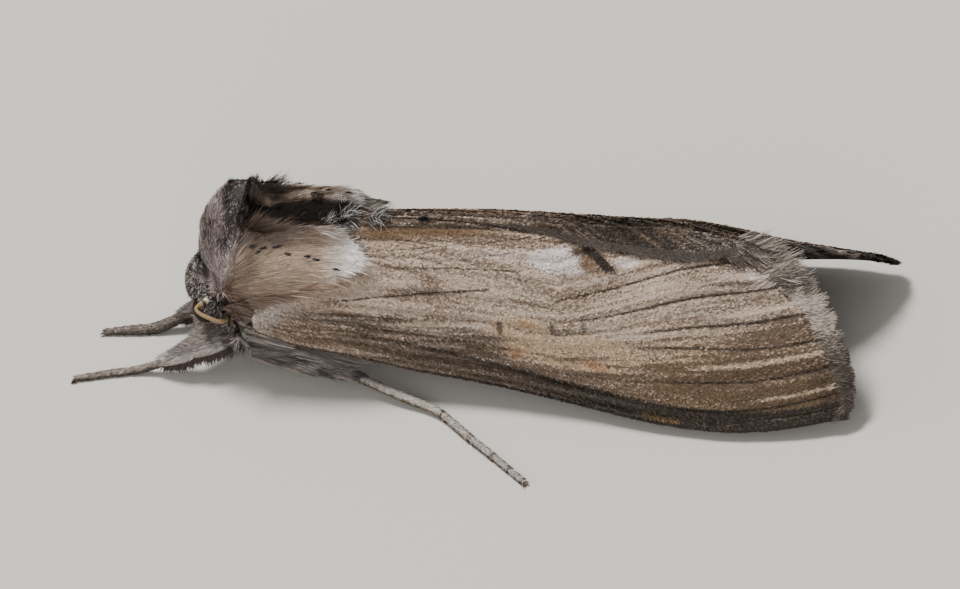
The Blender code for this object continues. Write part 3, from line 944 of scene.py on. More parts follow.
def nearest_bone(p):
    """For each point: its distance to the nearest leg bone, the bone's way, and where it is."""
    side = np.where(p[:, 1:2] < 0, -1.0, 1.0)
    mirror = np.hstack([np.ones_like(side), side, np.ones_like(side)])
    q = p * mirror
    best = {"distance": np.full(len(p), FAR_AWAY), "way": np.zeros_like(p),
            "spot": np.zeros((len(p), 2))}
    for k, bones in enumerate(BONES):
        steps = len(bones) - 1
        for j, (a, b) in enumerate(zip(np.array(bones), np.array(bones[1:]))):
            way = b - a
            share = np.clip((q - a) @ way / (way @ way), 0, 1)
            off = q - a - share[:, None] * way
            distance = np.linalg.norm(off, axis=1)
            way = way / np.linalg.norm(way)
            level = np.cross(way, [0, 0, 1.0])
            level /= np.linalg.norm(level)
            angle = np.arctan2(off @ level, off @ np.cross(level, way)) / TURN + 0.5
            here = {"distance": distance, "way": way,
                    "spot": within_unwrap((k + (j + share) / steps) / 3, angle)}
            closer = distance < best["distance"]
            best = {key: np.where(closer if key == "distance" else closer[:, None],
                                  here[key], best[key]) for key in best}
    best["way"] = best["way"] * mirror
    return best


# %% [markdown]
# ## Head, flanks and hind body
# The face has short rough scales that stand out a little and point down and forwards. Long
# straight grey hair lies along the flanks, and the hair of the hind body ends in a brush.

# %% Grow the rest of the body
def on_flank(p, n):
    return (1 - shoulder_side(p, n)) * (p[:, 0] > -8.9) * (p[:, 0] < -3.0) * (
        over_head_line(p) < 0.2) * (nearest_bone(p)["distance"] > 0.35)


def flank_length(p):
    return (-3.4 - p[:, 0]).clip(0.4, 1.8) * (0.4 + 0.6 * fade(p[:, 2], 1.1, 1.8)) * (
        1 - 0.6 * fade(p[:, 2], 2.6, 3.2))


head_finish = marked_material("head scales", body_markings, 0.5, tip_light=0.05,
                              Specular_IOR_Level=0.35)
flank_finish = marked_material("flank hair", body_markings, 0.45, tip_light=0.12)
grow("coat_head", head_finish, per_mm2=1100,
     keep=lambda p, n: fade(over_head_line(p), 0.1, -0.1) * (p[:, 0] < -8.5) * (
         p[:, 2] > 2.05),
     lie=lambda p, n: np.array([-0.3, 0, -0.5]) + n * 0.4, length=0.30, width=0.075, rise=0.22,
     seed=51, widths=SHORT_HAIR, radius=2.5, sway_by=0.9, jitter=0.55)
grow("coat_palps", head_finish, per_mm2=1500,
     keep=lambda p, n: (p[:, 0] < -9.55) * (p[:, 2] <= 2.3) * (p[:, 2] > 1.6) * (
         np.abs(p[:, 1]) < 0.7),
     lie=lambda p, n: np.array([-1.0, 0, 0.2]) + n * 0.2, length=0.16, width=0.05, rise=0.06,
     seed=55, widths=SHORT_HAIR, radius=1.0, jitter=0.2)
grow("coat_flanks", flank_finish, per_mm2=430, keep=on_flank,
     lie=lambda p, n: np.array([1.0, 0, -0.26]) + p * (0, 0.03, 0), length=flank_length,
     width=0.04, rise=lambda p: 0.05 + 0.11 * fade(p[:, 2], 1.2, 1.9) * fade(p[:, 2], 3.2, 2.6),
     seed=61, radius=12.0, sway_by=0.05, jitter=0.04, curl=0.03, tilt=(0.1, 1, 1))
grow("coat_hind_body", flank_finish, per_mm2=110,
     keep=lambda p, n: (p[:, 0] > -3.4) * (p[:, 2] < 4.9) * (
         nearest_bone(p)["distance"] > 0.5),
     lie=lambda p, n: np.array([1.0, 0, 0.0]) + 0 * p,
     length=lambda p: 0.65 + 0.9 * fade(p[:, 0], 8.5, 10.0), width=0.11, rise=0.16, seed=71,
     radius=4.0)

# %% [markdown]
# ## Leg hair
# The hair of the thighs and shins is short and smooth on the front legs, and long and
# straight on the middle legs, where it joins that of the flanks.

# %% Grow the leg hair
def on_leg(p, n):
    front = p[:, 0] < -9.0
    return (nearest_bone(p)["distance"] < 0.5 + 0.4 * front) * (p[:, 2] < 2.0 + 0.1 * front) * (
        p[:, 0] > -11.8) * ((n[:, 0] > -0.5) | (p[:, 0] < -8.6))


def leg_lie(p, n):
    along_body = fade(p[:, 0], -8.7, -8.3)[:, None]
    way = nearest_bone(p)["way"]
    return way + along_body * ([1.0, 0, -0.24] + p * (0, 0.03, 0) - way) + n * 0.06


def leg_length(p):
    return 0.30 + 0.75 * fade(p[:, 0], -8.9, -8.3) * fade(p[:, 0], -3.4, -4.4) * (
        0.4 + 0.6 * fade(p[:, 2], 0.9, 1.5))


leg_finish = marked_material("leg hair", body_markings, 0.5, tip_light=0.04,
                             Specular_IOR_Level=0.35)
for name, side in SIDES.items():
    grow(f"coat_legs_{name}", leg_finish, per_mm2=790,
         keep=lambda p, n: on_leg(p, n) * (p[:, 1] * side > 0), lie=leg_lie,
         length=leg_length, width=0.036,
         rise=lambda p: 0.07 + 0.02 * fade(p[:, 0], -8.9, -8.3), seed=75 + side, radius=5.0,
         spot_of=lambda p: nearest_bone(p)["spot"], sway_by=0.05, jitter=0.06, curl=0.08,
         tilt=(0.15, 1, 1))

# %% [markdown]
# A dark fringe hangs under the front legs. Its hair is cut so that it stays off the floor.
# A few bristles stand before the hood, where the head's scales end.

# %% Hanging hair and bristles
root, normal = scatter(560, lambda p, n: on_leg(p, n) * (p[:, 0] < -8.8) * (n[:, 2] < -0.3), 85)
chance = np.random.default_rng(86)
n = len(root)
down = np.array([0, 0, -1.1])
lie = unit(nearest_bone(root)["way"] * 0.5 + down + chance.normal(0, 0.3, (n, 3)))
room_below = (root[:, 2] - 0.1).clip(0.05) / (-lie[:, 2]).clip(0.2)
size = np.minimum(chance.uniform(0.25, 0.70, n), room_below)
made = blades("coat_leg_fringe", root, np.tile([0.1, -1.0, 0], (n, 1)), lie, size, 0.03, 0.0,
              HAIR, root * MM, chance.random(n), body_spot(root), 87)
hanging_finish, tree, shader = new_material("hanging hair", 0.6, Specular_IOR_Level=0.25)
feed(shader, "Base Color", mix(stored(tree, "tone"), (0.020, 0.014, 0.012),
                               (0.075, 0.055, 0.046)))
dress(made, hanging_finish)

BRISTLES = ((-9.95, -0.75, 4.3), (-9.9, -0.35, 4.45), (-9.9, 0.1, 4.5), (-9.9, 0.5, 4.4),
            (-9.75, -1.0, 4.25), (-9.75, 0.95, 4.2))
root = np.array(BRISTLES)
n = len(root)
made = blades("coat_bristles", root, np.tile([-0.8, 0, 0.6], (n, 1)),
              unit(np.tile([0.1, 0, 1.0], (n, 1)) + root * (0, 0.15, 0)),
              np.linspace(0.5, 0.75, n), 0.03, 0.1, HAIR, root * MM, np.linspace(0, 1, n),
              body_spot(root), 78, radius=-2.5)
dress(made, head_finish)

# %% [markdown]
# ## Lanes
# The veins of a forewing fan out from its base, and everything on the wing follows them: the
# streaks, the folds and the scales. A lane is a line that runs with the veins. The lane of a
# place is its share of the slope, pushed up more and more towards the outer edge. The same
# formula is needed twice, for arrays of scales here and as shader nodes below.

# %% Lanes and veins
LANE_CENTRE, LANE_RUN, LANE_FAN, LANE_FIRST = 8.0, 6.0, 0.43, -0.6
# start x, end x, share at the start, share at the end, half width, bow
VEINS = (
    (3.4, 11.3, 0.54, 0.185, 0.0085, 0.02),
    (4.0, 12.3, 0.61, 0.30, 0.0085, 0.03),
    (6.6, 13.2, 0.605, 0.425, 0.0085, 0.02),
    (6.4, 13.7, 0.655, 0.55, 0.008, 0.02),
    (7.6, 14.1, 0.78, 0.68, 0.008, 0.01),
    (6.8, 14.5, 0.90, 0.82, 0.0085, 0.02),
    (10.5, 14.6, 0.93, 0.905, 0.007, 0.0),
    # creases near the wing's base
    (-5.6, 1.7, 0.68, 0.49, 0.0078, -0.045),
    (-2.2, 3.0, 0.415, 0.38, 0.0045, -0.01),
    (-1.8, 3.4, 0.365, 0.165, 0.0035, 0.0),
    (-0.5, 3.8, 0.39, 0.24, 0.003, 0.0),
    (-3.0, 0.6, 0.33, 0.26, 0.003, 0.0),
)
FOLD, GROOVE = 0.035, 0.07      # mm


def lane_of(x, share):
    fan = LANE_FAN * np.maximum(LANE_FIRST, (x - LANE_CENTRE) / LANE_RUN)
    return (share + fan) / (1 + fan)


def wing_relief(x, share):
    """How far the wing stands up, in mm: folds between the veins, a groove along each."""
    lane = lane_of(x, share)
    folds = FOLD * (np.sin(lane * 44 + 0.2 * x) + 0.7 * np.sin(lane * 81 - 0.1 * x))
    total = folds * fade(x, -7, -3) * fade(share, 0.02, 0.12)
    for start, end, first, last, wide, bow in VEINS:
        reach = (x - start) / (end - start)
        line = first + (last - first) * reach + bow * reach * (1 - reach)
        groove = np.exp(-(((share - line) / (1.4 * wide)) ** 2))
        total -= GROOVE * groove * fade(reach, -0.02, 0.2) * fade(reach, 1.05, 1.0)
    return total


# %% [markdown]
# ## A vein
# A vein is a thin dark line on the wing, a little broader towards the outer edge. A small
# group of its own draws one, and the wing's markings use it once for each vein.

# %% A vein streak
STREAK_INPUTS = ("Along", "Across", "Start", "End", "At Start", "At End", "Width", "Bow")
streak, given, put = new_group(
    "vein streak", {key: "Float" for key in STREAK_INPUTS}, "Mask", "Float")
reach = (given["Along"] - given["Start"]) / (given["End"] - given["Start"])
line = given["At Start"] + (given["At End"] - given["At Start"]) * reach
line = line + given["Bow"] * reach * (1 - reach)
off = abs(given["Across"] - line) / (given["Width"] * (reach * 0.6 + 0.8))
ends = reach.fade(-0.02, 0.25) * reach.fade(1.03, 0.99)
put(off.fade(1.1, 0.35) * ends)
print("vein streak:", len(streak.nodes), "nodes for each of", len(VEINS), "veins")

# %% [markdown]
# ## Wing markings
# A forewing looks like weathered wood. Close up each scale is either brown or pale, and what
# changes from place to place is how many are pale. So the group works out a paleness and
# compares it with the scale's own chance value. Place holds x, the share of the slope, and
# how far x is past the outer edge.

# %% Fibres and blots
WING_BROWN, WING_DARK, OCHRE = (0.165, 0.116, 0.082), (0.024, 0.017, 0.013), (0.150, 0.088, 0.042)
WARM_BROWN, GOLD, WING_WHITE = (0.150, 0.086, 0.040), (0.60, 0.43, 0.265), (0.86, 0.78, 0.76)
WING_PALE, COSTAL_GREY, ORANGE = (0.64, 0.51, 0.42), (0.040, 0.032, 0.027), (0.34, 0.145, 0.045)
VEIN_DARK, RUST, BASE_PALE = (0.036, 0.025, 0.018), (0.125, 0.082, 0.048), (0.60, 0.57, 0.54)
MARK_BLACK, DASH_OCHRE = (0.018, 0.013, 0.010), (0.17, 0.12, 0.045)
TURN_X = 4.4        # before this x the streaks bend

wing_markings, given, put = new_markings("wing markings")
tone = given["Tone"]
x, s, from_edge = given["Place"].parts()
fan = ((x - LANE_CENTRE) / LANE_RUN).most(LANE_FIRST) * LANE_FAN
lane = (s + fan) / (fan + 1)
before = (x - TURN_X).least(0)
flow = lane - (before * 0.036 * near(s, 0.32, 0.10, 0.18) + before * -0.014 * s.fade(0.55, 0.75))
fibre = noise(combine(x * 0.30, flow * 46, 0.0), detail=3)
broad = noise(combine(x * 0.22, flow * 12, 3.0))
blotch = noise(combine(x * 0.9, s * 6, 7.0))
ragged = (blotch - 0.5) * 0.8


def blot(cx, cs, rx, rs):
    """A soft ragged spot round (x, share), with half sizes along x and across."""
    across = (s + ragged * 0.03 - cs) / rs
    along = (x + ragged * 0.3 - cx) / rx
    return (along * along + across * across).fade(1.3, 0.5)


def blots(*spots):
    """The blots of several (x, share, half size, half size), together."""
    total = blot(*spots[0])
    for one in spots[1:]:
        total = total.most(blot(*one))
    return total


# %% [markdown]
# The middle of the wing is pale, with a golden field below it and a white one near the ridge.
# The costa's band, the lap over the ridge and the rusty outer part are darker. Thin pale
# lines run between the outer veins.

# %% How pale each place is
middle = s.fade(0.17, 0.30) * (flow - (x + 1) * 0.012).fade(0.66, 0.52)
costa_line = x.least(4.0) * 0.011 + 0.842
costal = (s - costa_line).fade(-0.03, 0.0) * x.fade(-5.0, -2.5)
lap = (s + (x - 4.0) * -0.02).fade(0.15, 0.09) * x.fade(2.0, 4.5)
gold = blots((2.9, 0.69, 1.3, 0.10), (5.6, 0.70, 1.9, 0.075), (4.2, 0.75, 1.6, 0.05))
gold = gold * (fibre.fade(0.30, 0.60) * 0.55 + 0.45)
rust = lane.fade(0.54, 0.68) * x.fade(5.0, 8.5)
white = blot(4.45, 0.30, 1.4, 0.075) * (x - s * 1.5).fade(4.85, 4.7)
white = white.most(blot(3.5, 0.30, 1.9, 0.05) * 0.35).most(blot(6.8, 0.285, 0.5, 0.03) * 0.9)
white = white * (fibre.fade(0.25, 0.55) * 0.35 + 0.65)
corner = (s * 3.4 + 10.55 - x).fade(0.7, 0.2) * s.fade(0.36, 0.24) * s.fade(0.20, 0.25)

pale = 0.20 + middle * 0.30 + gold * 0.30 + white * 0.42 + corner * 0.4
pale = pale + (fibre - 0.5) * 1.6 + (broad - 0.5) * 0.8 - x.fade(8.5, 12.5) * 0.15
pale = (pale - lap * 0.30 - costal * 0.16 - rust * 0.16).least(0.68)
# the outer pale lines: lane, half width, softness, x where it starts and is full, strength
for centre, half, soft, start, full, strength in (
        (0.722, 0.003, 0.009, 8.5, 9.5, 0.6), (0.848, 0.003, 0.008, 11.0, 12.0, 0.7),
        (0.41, 0.004, 0.012, 9.5, 11.0, 0.35), (0.545, 0.004, 0.012, 9.5, 11.0, 0.35)):
    pale = pale + near(lane, centre, half, soft) * x.fade(start, full) * strength
for centre, middle_x, strength in ((0.80, -2.9, 0.35), (0.665, -0.4, 0.45)):
    pale = pale + near(flow, centre, 0.006, 0.012) * near(x, middle_x, 0.7, 0.5) * strength
pale = pale + near(from_edge, -0.25, 0.06, 0.10) * s.fade(0.9, 0.6) * 0.15
speck = (pale - tone * 0.75 - 0.05).fade(-0.30, 0.30)

ground = mix(broad.fade(0.40, 0.65) * 0.5, WING_BROWN, OCHRE)
ground = mix(rust * 0.85, ground, RUST)
bright_part = mix((gold * 0.85).most(rust * 0.5), WING_PALE, GOLD)
bright_part = mix(white.most(corner * 0.6), bright_part, WING_WHITE)
print("wing ground:", len(wing_markings.nodes), "nodes")

# %% [markdown]
# Over this ground lie stains, each with a mask and a colour, from the first laid to the last.
# Most are brown or grey and follow the ridge, the costa and the outer edge. One dark strip
# along the costa's lower rim is painted shade.

# %% Stains
warm_low = (x + 3.0) * -0.012 + 0.255
warm = s.fade(0.105, 0.14) * (s - warm_low + ragged * 0.03).fade(0.04, -0.05) * x.fade(
    -3.4, -2.4) * x.fade(3.0, 0.6)
glow = near(s, 0.30, 0.04, 0.06) * near(x, -1.7, 0.6, 0.8)
warm_top = near(s, 0.135, 0.012, 0.02) * x.fade(-3.0, -2.0) * x.fade(1.5, 0.0)
shade = s.fade(0.145, 0.105) * x.fade(-4, -2.5)
ginger = blots((2.45, 0.775, 0.35, 0.022), (5.4, 0.755, 0.45, 0.02), (3.05, 0.625, 0.35, 0.015),
               (-4.1, 0.70, 0.5, 0.018))
lower = near(s, 0.755, 0.05, 0.05) * x.fade(2.8, 1.4) * x.fade(-6.0, -3.5)
costal_line = near(s, costa_line, 0.004, 0.014) * x.fade(-3.0, 0.0) * x.fade(13.0, 11.0)
marks_and_shade = [
    (warm * (fibre.fade(0.25, 0.65) * 0.55 + 0.43), WARM_BROWN),
    (glow * (fibre.fade(0.4, 0.7) * 0.4), GOLD),
    (warm_top * 0.6, WING_DARK),
    (shade * (fibre.fade(0.62, 0.42) * 0.55 + 0.3), WING_DARK),
    (lap * (fibre.fade(0.60, 0.42) * 0.6 + 0.25), WING_DARK),
    (ginger * (fibre.fade(0.3, 0.6) * 0.3 + 0.2), ORANGE),
    (costal * (1 - speck * 0.6) * 0.45, COSTAL_GREY),
    (costal * x.fade(-1.0, 6.0) * (0.85 - speck * 0.35), COSTAL_GREY),
    (lower * (broad.fade(0.62, 0.42) * 0.5 + 0.5) * fibre.fade(0.75, 0.4) * 0.7, WING_DARK),
    (costal_line * 0.8, WING_DARK),
]

# %% [markdown]
# The clearest marks are a black crescent at the end of the white field, small ticks round the
# golden one, dashes along the outer edge, and the dark veins themselves. At the wing's base
# the scales are pale grey.

# %% Marks and veins
lunule = near(x - s * 7.0, 3.85, 0.18, 0.18) * near(s, 0.275, 0.06, 0.03)
behind_mark = near(x - s * 4.0, 4.15, 0.2, 0.25) * near(s, 0.29, 0.05, 0.03)
ticks = blots((2.0, 0.665, 0.12, 0.035), (3.95, 0.625, 0.10, 0.03), (5.2, 0.61, 0.09, 0.025))
ticks = ticks.most(blot(4.55, 0.63, 0.7, 0.018) * 0.5)
outer_shade = (from_edge + 3.4).fade(-1.5, 1.0) * s.fade(0.24, 0.30)
ridge_patch = near(x, 6.6, 0.45, 0.3) * s.fade(0.17, 0.12)
dashes = noise(combine(s * 16, 0.0, 0.0), detail=0).fade(0.42, 0.52)
edge_dash = near(from_edge, -0.20, 0.03, 0.04) * dashes
outer_dark = from_edge.fade(-1.6, -0.1) * s.fade(0.45, 0.75)
ochre_dash = near(s, 0.962, 0.008, 0.01) * near(x, 7.8, 0.5, 0.4)
base = (x + s * 6.0).fade(-0.9, -2.2) * s.fade(0.66, 0.74) * s.fade(0.985, 0.95)
veins = None
for start, end, first, last, wide, bow in VEINS:
    mask = use_group(wing_markings, streak, Along=x, Across=s, Start=start, End=end,
                     At_Start=first, At_End=last, Width=wide, Bow=bow)
    veins = mask if veins is None else veins.most(mask)
marks_and_shade += [
    (behind_mark * (fibre.fade(0.6, 0.3) * 0.3 + 0.6), OCHRE),
    (behind_mark * s.fade(0.29, 0.25) * 0.7, WING_DARK),
    (lunule * 0.95, MARK_BLACK),
    (ticks * 0.75, WING_DARK),
    (outer_shade * (1 - speck * 0.5) * 0.22, WING_DARK),
    (ridge_patch * 0.7, WING_DARK),
    (edge_dash * s.fade(0.75, 0.45) * 0.85, WING_DARK),
    (outer_dark * (1 - speck) * 0.5, WING_DARK),
    (veins * 0.88, VEIN_DARK),
    (ochre_dash * 0.65, DASH_OCHRE),
    # painted shade: a dark strip along the costa's lower rim, where the underside shadow lies
    (s.fade(0.968, 0.985) * 0.75, WING_DARK),
    (base * (tone.fade(0.25, 0.65) * 0.8), BASE_PALE),
]
colour = mix(speck, ground, bright_part)
for mask, tint in marks_and_shade:
    colour = mix(mask, colour, tint)
# each scale's brightness differs at random; the few with tone over 0.9 get painted glints
put(colour.scaled(tone * 0.45 + 0.74 + tone.fade(0.90, 0.94) * 0.4))
print("wing markings:", len(wing_markings.nodes), "nodes,", len(marks_and_shade), "marks_and_shade")

# %% [markdown]
# ## Forewings
# Under its scales a wing is a thin membrane. It is a grid over the roof, drawn in by a
# little. The scales stand on it in rows, like tiles, each pointing to the wing's outer edge.
# The wings don't meet edge to edge: the right one laps over the ridge and lies on the left
# one. Past the ridge its share is negative, which stands for the left slope, a little higher.

# %% Where the wings begin, end and lap
WING_BASE = ((0, -3.3), (0.2, -3.45), (0.35, -3.5), (0.5, -4.3), (0.62, -5.5), (0.72, -6.7),
             (0.85, -7.2), (1, -7.35))
TERMEN = ((0, 10.45), (0.15, 11.05), (0.28, 12.0), (0.42, 13.05), (0.55, 13.6), (0.67, 14.05),
          (0.81, 14.4), (0.93, 14.45), (1, 14.15))
LAP = ((-2.3, 0), (0.4, -0.055), (3.4, -0.12), (5.5, -0.20), (7.3, -0.235), (8.4, -0.25),
       (9.5, -0.235), (10.4, -0.16), (11.3, 0))
LAP_LIFT = 0.07
MEMBRANE_SINK, SCALE_SINK = 0.17, 0.13


def wing_axes(x, own, side):
    """roof_axes for a place with share own of its wing. Only the right wing laps."""
    if side == LEFT:
        return roof_axes(x, np.abs(own), side)
    share = own + profile(x, LAP) * (x > LAP[0][0]) * (x < LAP[-1][0]) * (1 - own) ** 3
    here = roof_axes(x, np.abs(share), side)
    point, normal, along, across = roof_axes(x, np.abs(share), LEFT)
    point = point + normal * LAP_LIFT * fade(-share, 0.0, 0.02)[..., None]
    past = (share < 0)[..., None]
    return [np.where(past, a, b) for a, b in zip((point, normal, along, -across), here)]


def wing_place(x, share, side):
    """What the wing markings read. The dark inner zone of the right wing is the broader one."""
    shown = share - 0.11 * fade(share, 0.1, 0.22) * fade(share, 0.6, 0.35) * fade(x, 1, 4) * (
        side == RIGHT)
    return np.stack([x, shown, x - profile(share, TERMEN)], -1)


# %% [markdown]
# The membrane could be modelled with two sides. It is simpler to make one sheet of it, and
# to let the Solidify modifier give it its thickness.

# %% Membranes
SHEET = 0.06        # mm thick


def wing_sheet(name, xs, shares, points, side, finish):
    """A thin sheet from a grid of points, with its place stored for the markings."""
    quads = grid_quads(*xs.shape)[:, ::side]
    place = wing_place(xs, shares, side).reshape(-1, 3)
    made = mesh_object(name, points.reshape(-1, 3), quads, attributes={"place": place})
    body = made.modifiers.new("thickness", "SOLIDIFY")
    body.thickness, body.offset = SHEET * MM, -1
    return dress(made, finish)


def shares_of_grid(rows, columns):
    return np.meshgrid(np.linspace(0, 1, rows), np.linspace(0, 1, columns), indexing="ij")


membrane_finish = marked_material("wing membrane", wing_markings, 0.7, tone=0.45)
for name, side in SIDES.items():
    rows, columns = shares_of_grid(170, 60)
    start, end = profile(columns, WING_BASE), profile(columns, TERMEN)
    xs = start + (end - start) * rows
    point, normal, _, _ = wing_axes(xs, columns, side)
    points = point + normal * (wing_relief(xs, columns) - MEMBRANE_SINK)[..., None]
    wing = wing_sheet(f"wing_membrane_{name}", xs, columns, points, side, membrane_finish)
    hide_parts(f"forewing_{name}")
    print(f"wing_membrane_{name}:", len(wing.data.polygons), "faces")

# %% [markdown]
# ## Wing scales
# The scales are set out row by row across the slope, each row a step behind the one before.
# Each points along its lane. A wing has too many for one piece, so it gets an upper and a
# lower one.

# %% Wing scales
SCALE_LENGTH, SCALE_WIDTH, SCALE_STEP = 0.155, 0.062, 0.039
COAT_SPLIT = 0.45       # share of the slope where the upper piece ends


def scale_sites(side, seed):
    """x and share of every scale of a wing, row by row, with a little disorder."""
    chance = np.random.default_rng(seed)
    step = SCALE_STEP * 1
    xs, shares = [], []
    fine = np.linspace(0, 1, 120)
    for x in np.arange(-8.3, 14.5, step):
        line = wing_axes(np.full(120, x), fine, side)[0]
        run = np.concatenate([[0], np.cumsum(np.linalg.norm(np.diff(line, axis=0), axis=1))])
        count = int(run[-1] / step)
        wanted = (np.arange(count) + chance.random(count)) / count * run[-1]
        xs.append(x + chance.random(count) * step)
        shares.append(np.interp(wanted, run, fine))
    x, share = np.concatenate(xs), np.concatenate(shares)
    inside = (x > profile(share, WING_BASE) - 0.1) & (x < profile(share, TERMEN) - 0.04)
    return x[inside], share[inside]


def wing_spot(x, share):
    return within_unwrap((x + 9) / 25, share)


def lane_way(x, share, along, across, jitter, chance):
    """The direction of the lane through each place, with a little disorder."""
    fan = -LANE_FAN / LANE_RUN * (1 - lane_of(x, share)) * (x > LANE_CENTRE - 3.6)
    return unit(along + across * fan[:, None] + chance.normal(0, jitter, along.shape))


scale_finish = marked_material("wing scales", wing_markings, 0.38, Specular_IOR_Level=0.3)
for name, side in SIDES.items():
    all_x, all_share = scale_sites(side, 101 + side)
    for part, inner in (("upper", all_share < COAT_SPLIT), ("lower", all_share >= COAT_SPLIT)):
        x, share = all_x[inner], all_share[inner]
        chance = np.random.default_rng(111 + side)
        point, normal, along, across = wing_axes(x, share, side)
        lie = lane_way(x, share, along, across, 0.09, chance)
        normal = unit(normal + chance.normal(0, 0.09, point.shape))
        root = point + normal * (wing_relief(x, share) - SCALE_SINK)[:, None]
        spread = chance.normal(1, 0.15, len(x)).clip(0.6, 1.5)
        size = SCALE_LENGTH * spread * (1 - 0.4 * fade(share, 0.965, 0.985))
        coat = blades(f"coat_wing_{name}_{part}", root, normal, lie, size,
                      SCALE_WIDTH * spread, 0.04, SCALE, wing_place(x, share, side),
                      chance.random(len(x)), wing_spot(x, share), 121 + side, radius=20.0)
        dress(coat, scale_finish)

# %% [markdown]
# ## Fringes
# Along its outer edge a wing carries a fringe of long narrow scales in three rows. It is
# longest near the ridge, where it frays into loose hair. The inner edge of the right wing,
# which lies on the left one, has a short ragged fringe too. Here place holds x, the share and
# the row, and a fringe is darker towards the costa and where its row says so.

# %% Fringes
FRINGE_EDGE = ((0, 11.85), (0.15, 12.65), (0.3, 13.45), (0.45, 14.1), (0.65, 14.75),
               (0.85, 15.05), (1, 14.85))
FRINGE_SCALE, RAGGED_HAIR = (0.5, 1.0, 0.3), (0.6, 1.0, 0.5, 0)
INNER_EDGE_ROW = 2.4        # a row so far out that the fringe is dark

fringe_finish, tree, shader = new_material("fringe", 0.6, Specular_IOR_Level=0.25)
tone, tip = stored(tree, "tone"), stored(tree, "tip")
_, s, row = stored(tree, "place").parts()
light = noise(combine(s, row, 0.0), 24, 1) * 1.3 + tone * 0.7 - s.fade(0.5, 0.8) * 0.35
light = light + near(s, 0.45, 0.05, 0.06) * 0.35 - row.fade(0.65, 0.75) * 0.75
light = light + s.fade(0.35, 0.2) * (tip * 0.3 - 0.05) - s.fade(0.35, 0.1) * 0.15
feed(shader, "Base Color", mix(light.fade(0.75, 1.75), (0.058, 0.045, 0.037),
                               (0.60, 0.525, 0.455)))


def fringe(name, side, n, seed, sites, widths, pale=1.0):
    """One fringe piece; sites gives x, share, row, direction, length, width and root."""
    chance = np.random.default_rng(seed)
    x, share, row, lie, length, width, root, normal = sites(side, chance,
                                                            n // (1))
    made = blades(name, root, normal, lie, length, width, 0.05, widths,
                  np.stack([x, share, row * 0.3], 1), chance.random(len(x)) * pale,
                  wing_spot(x, share), seed + 5, radius=15.0, curl=0.12)
    dress(made, fringe_finish)


def outer_edge(side, chance, n):
    share = chance.random(n) ** 0.85
    row = chance.integers(0, 3, n)
    x = profile(share, TERMEN) - 0.16 + 0.10 * row
    reach = profile(share, FRINGE_EDGE) - x
    point, normal, along, across = wing_axes(x, share, side)
    loose = 0.10 + 0.12 * fade(share, 0.3, 0.05)
    lie = lane_way(x, share, along, across, loose[:, None], chance)
    root = point + normal * (wing_relief(x, share) - 0.13 - 0.04 * row)[:, None]
    length = reach * (0.35 + 0.2 * row + chance.uniform(0, 0.3, n))
    length *= 1 - 0.15 * fade(share, 0.7, 0.9) - 0.3 * fade(share, 0.3, 0.1) * (side == RIGHT)
    length *= 1 + 0.12 * np.sin(share * 70) + 0.08 * np.sin(share * 151)
    return x, share, row, lie, length, 0.042, root, normal


def inner_edge(side, chance, n):
    x = chance.uniform(2.5, 10.6, n)
    share = chance.random(n) * 0.03
    point, normal, along, across = wing_axes(x, share, side)
    lie = unit(along - unit(across) * chance.uniform(0.1, 0.9, (n, 1)))
    length = chance.uniform(0.12, 0.3, n) * (0.5 + 0.5 * fade(x, 4.5, 6.5))
    return x, share, 0 * x + INNER_EDGE_ROW, lie, length, 0.035, point - 0.1 * normal, normal


# the right fringe's tone is halved: painted shade on the far fringe
for name, side in SIDES.items():
    fringe(f"coat_fringe_{name}", side, 13000, 131 + side, outer_edge, FRINGE_SCALE,
           pale=1.0 if side == LEFT else 0.5)
fringe("coat_inner_edge", RIGHT, 2600, 171, inner_edge, RAGGED_HAIR)

# %% [markdown]
# ## Hindwings
# The hindwings lie folded under the forewings, pleated like a fan. Only their fringe peeps
# out at the back.

# %% Hindwings
HINDWING_SHARES, HINDWING_SINK, PLEAT = (0.2, 0.55), 0.75, 0.06


def hindwing_end(share):
    return 12.3 - 4.5 * share**2


def hindwing_edge(side, chance, n):
    share = chance.uniform(*HINDWING_SHARES, n)
    x = hindwing_end(share) - chance.random(n) * 0.3
    point, normal, along, across = roof_axes(x, share, side)
    lie = lane_way(x, share, along, across, 0.08, chance)
    return (x, share, 0 * x, lie, chance.uniform(0.4, 1.1, n), 0.045,
            point - normal * HINDWING_SINK, normal)


hindwing_finish, tree, shader = new_material("hindwing", 0.6)
lines = noise(add_node(tree, "VectorMath", stored(tree, "place"), (0.6, 30, 1),
                       operation="MULTIPLY"), detail=3)
feed(shader, "Base Color", mix(lines.fade(0.35, 0.65), (0.12, 0.095, 0.075),
                               (0.34, 0.29, 0.24)))
for name, side in SIDES.items():
    rows, columns = shares_of_grid(60, 24)
    share = HINDWING_SHARES[0] + (HINDWING_SHARES[1] - HINDWING_SHARES[0]) * columns
    xs = -2 + (hindwing_end(share) + 2) * rows
    point, normal, _, _ = roof_axes(xs, share, side)
    sink = HINDWING_SINK + PLEAT * np.sin(columns * 40)
    wing = wing_sheet(f"hindwing_sheet_{name}", xs, share, point - normal * sink[..., None],
                      side, hindwing_finish)
    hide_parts(f"hindwing_{name}")
    fringe(f"coat_hindwing_fringe_{name}", side, 2400, 151 + side, hindwing_edge, HAIR)

# %% [markdown]
# ## Tubes
# Feet and feelers are hard tubes. A tube is a ring of points swept along a route, which is a
# smooth curve through a few (x, y, z, radius) points. A curve object with a bevel could do
# it, but here the rings must also swell where a foot has its joints.

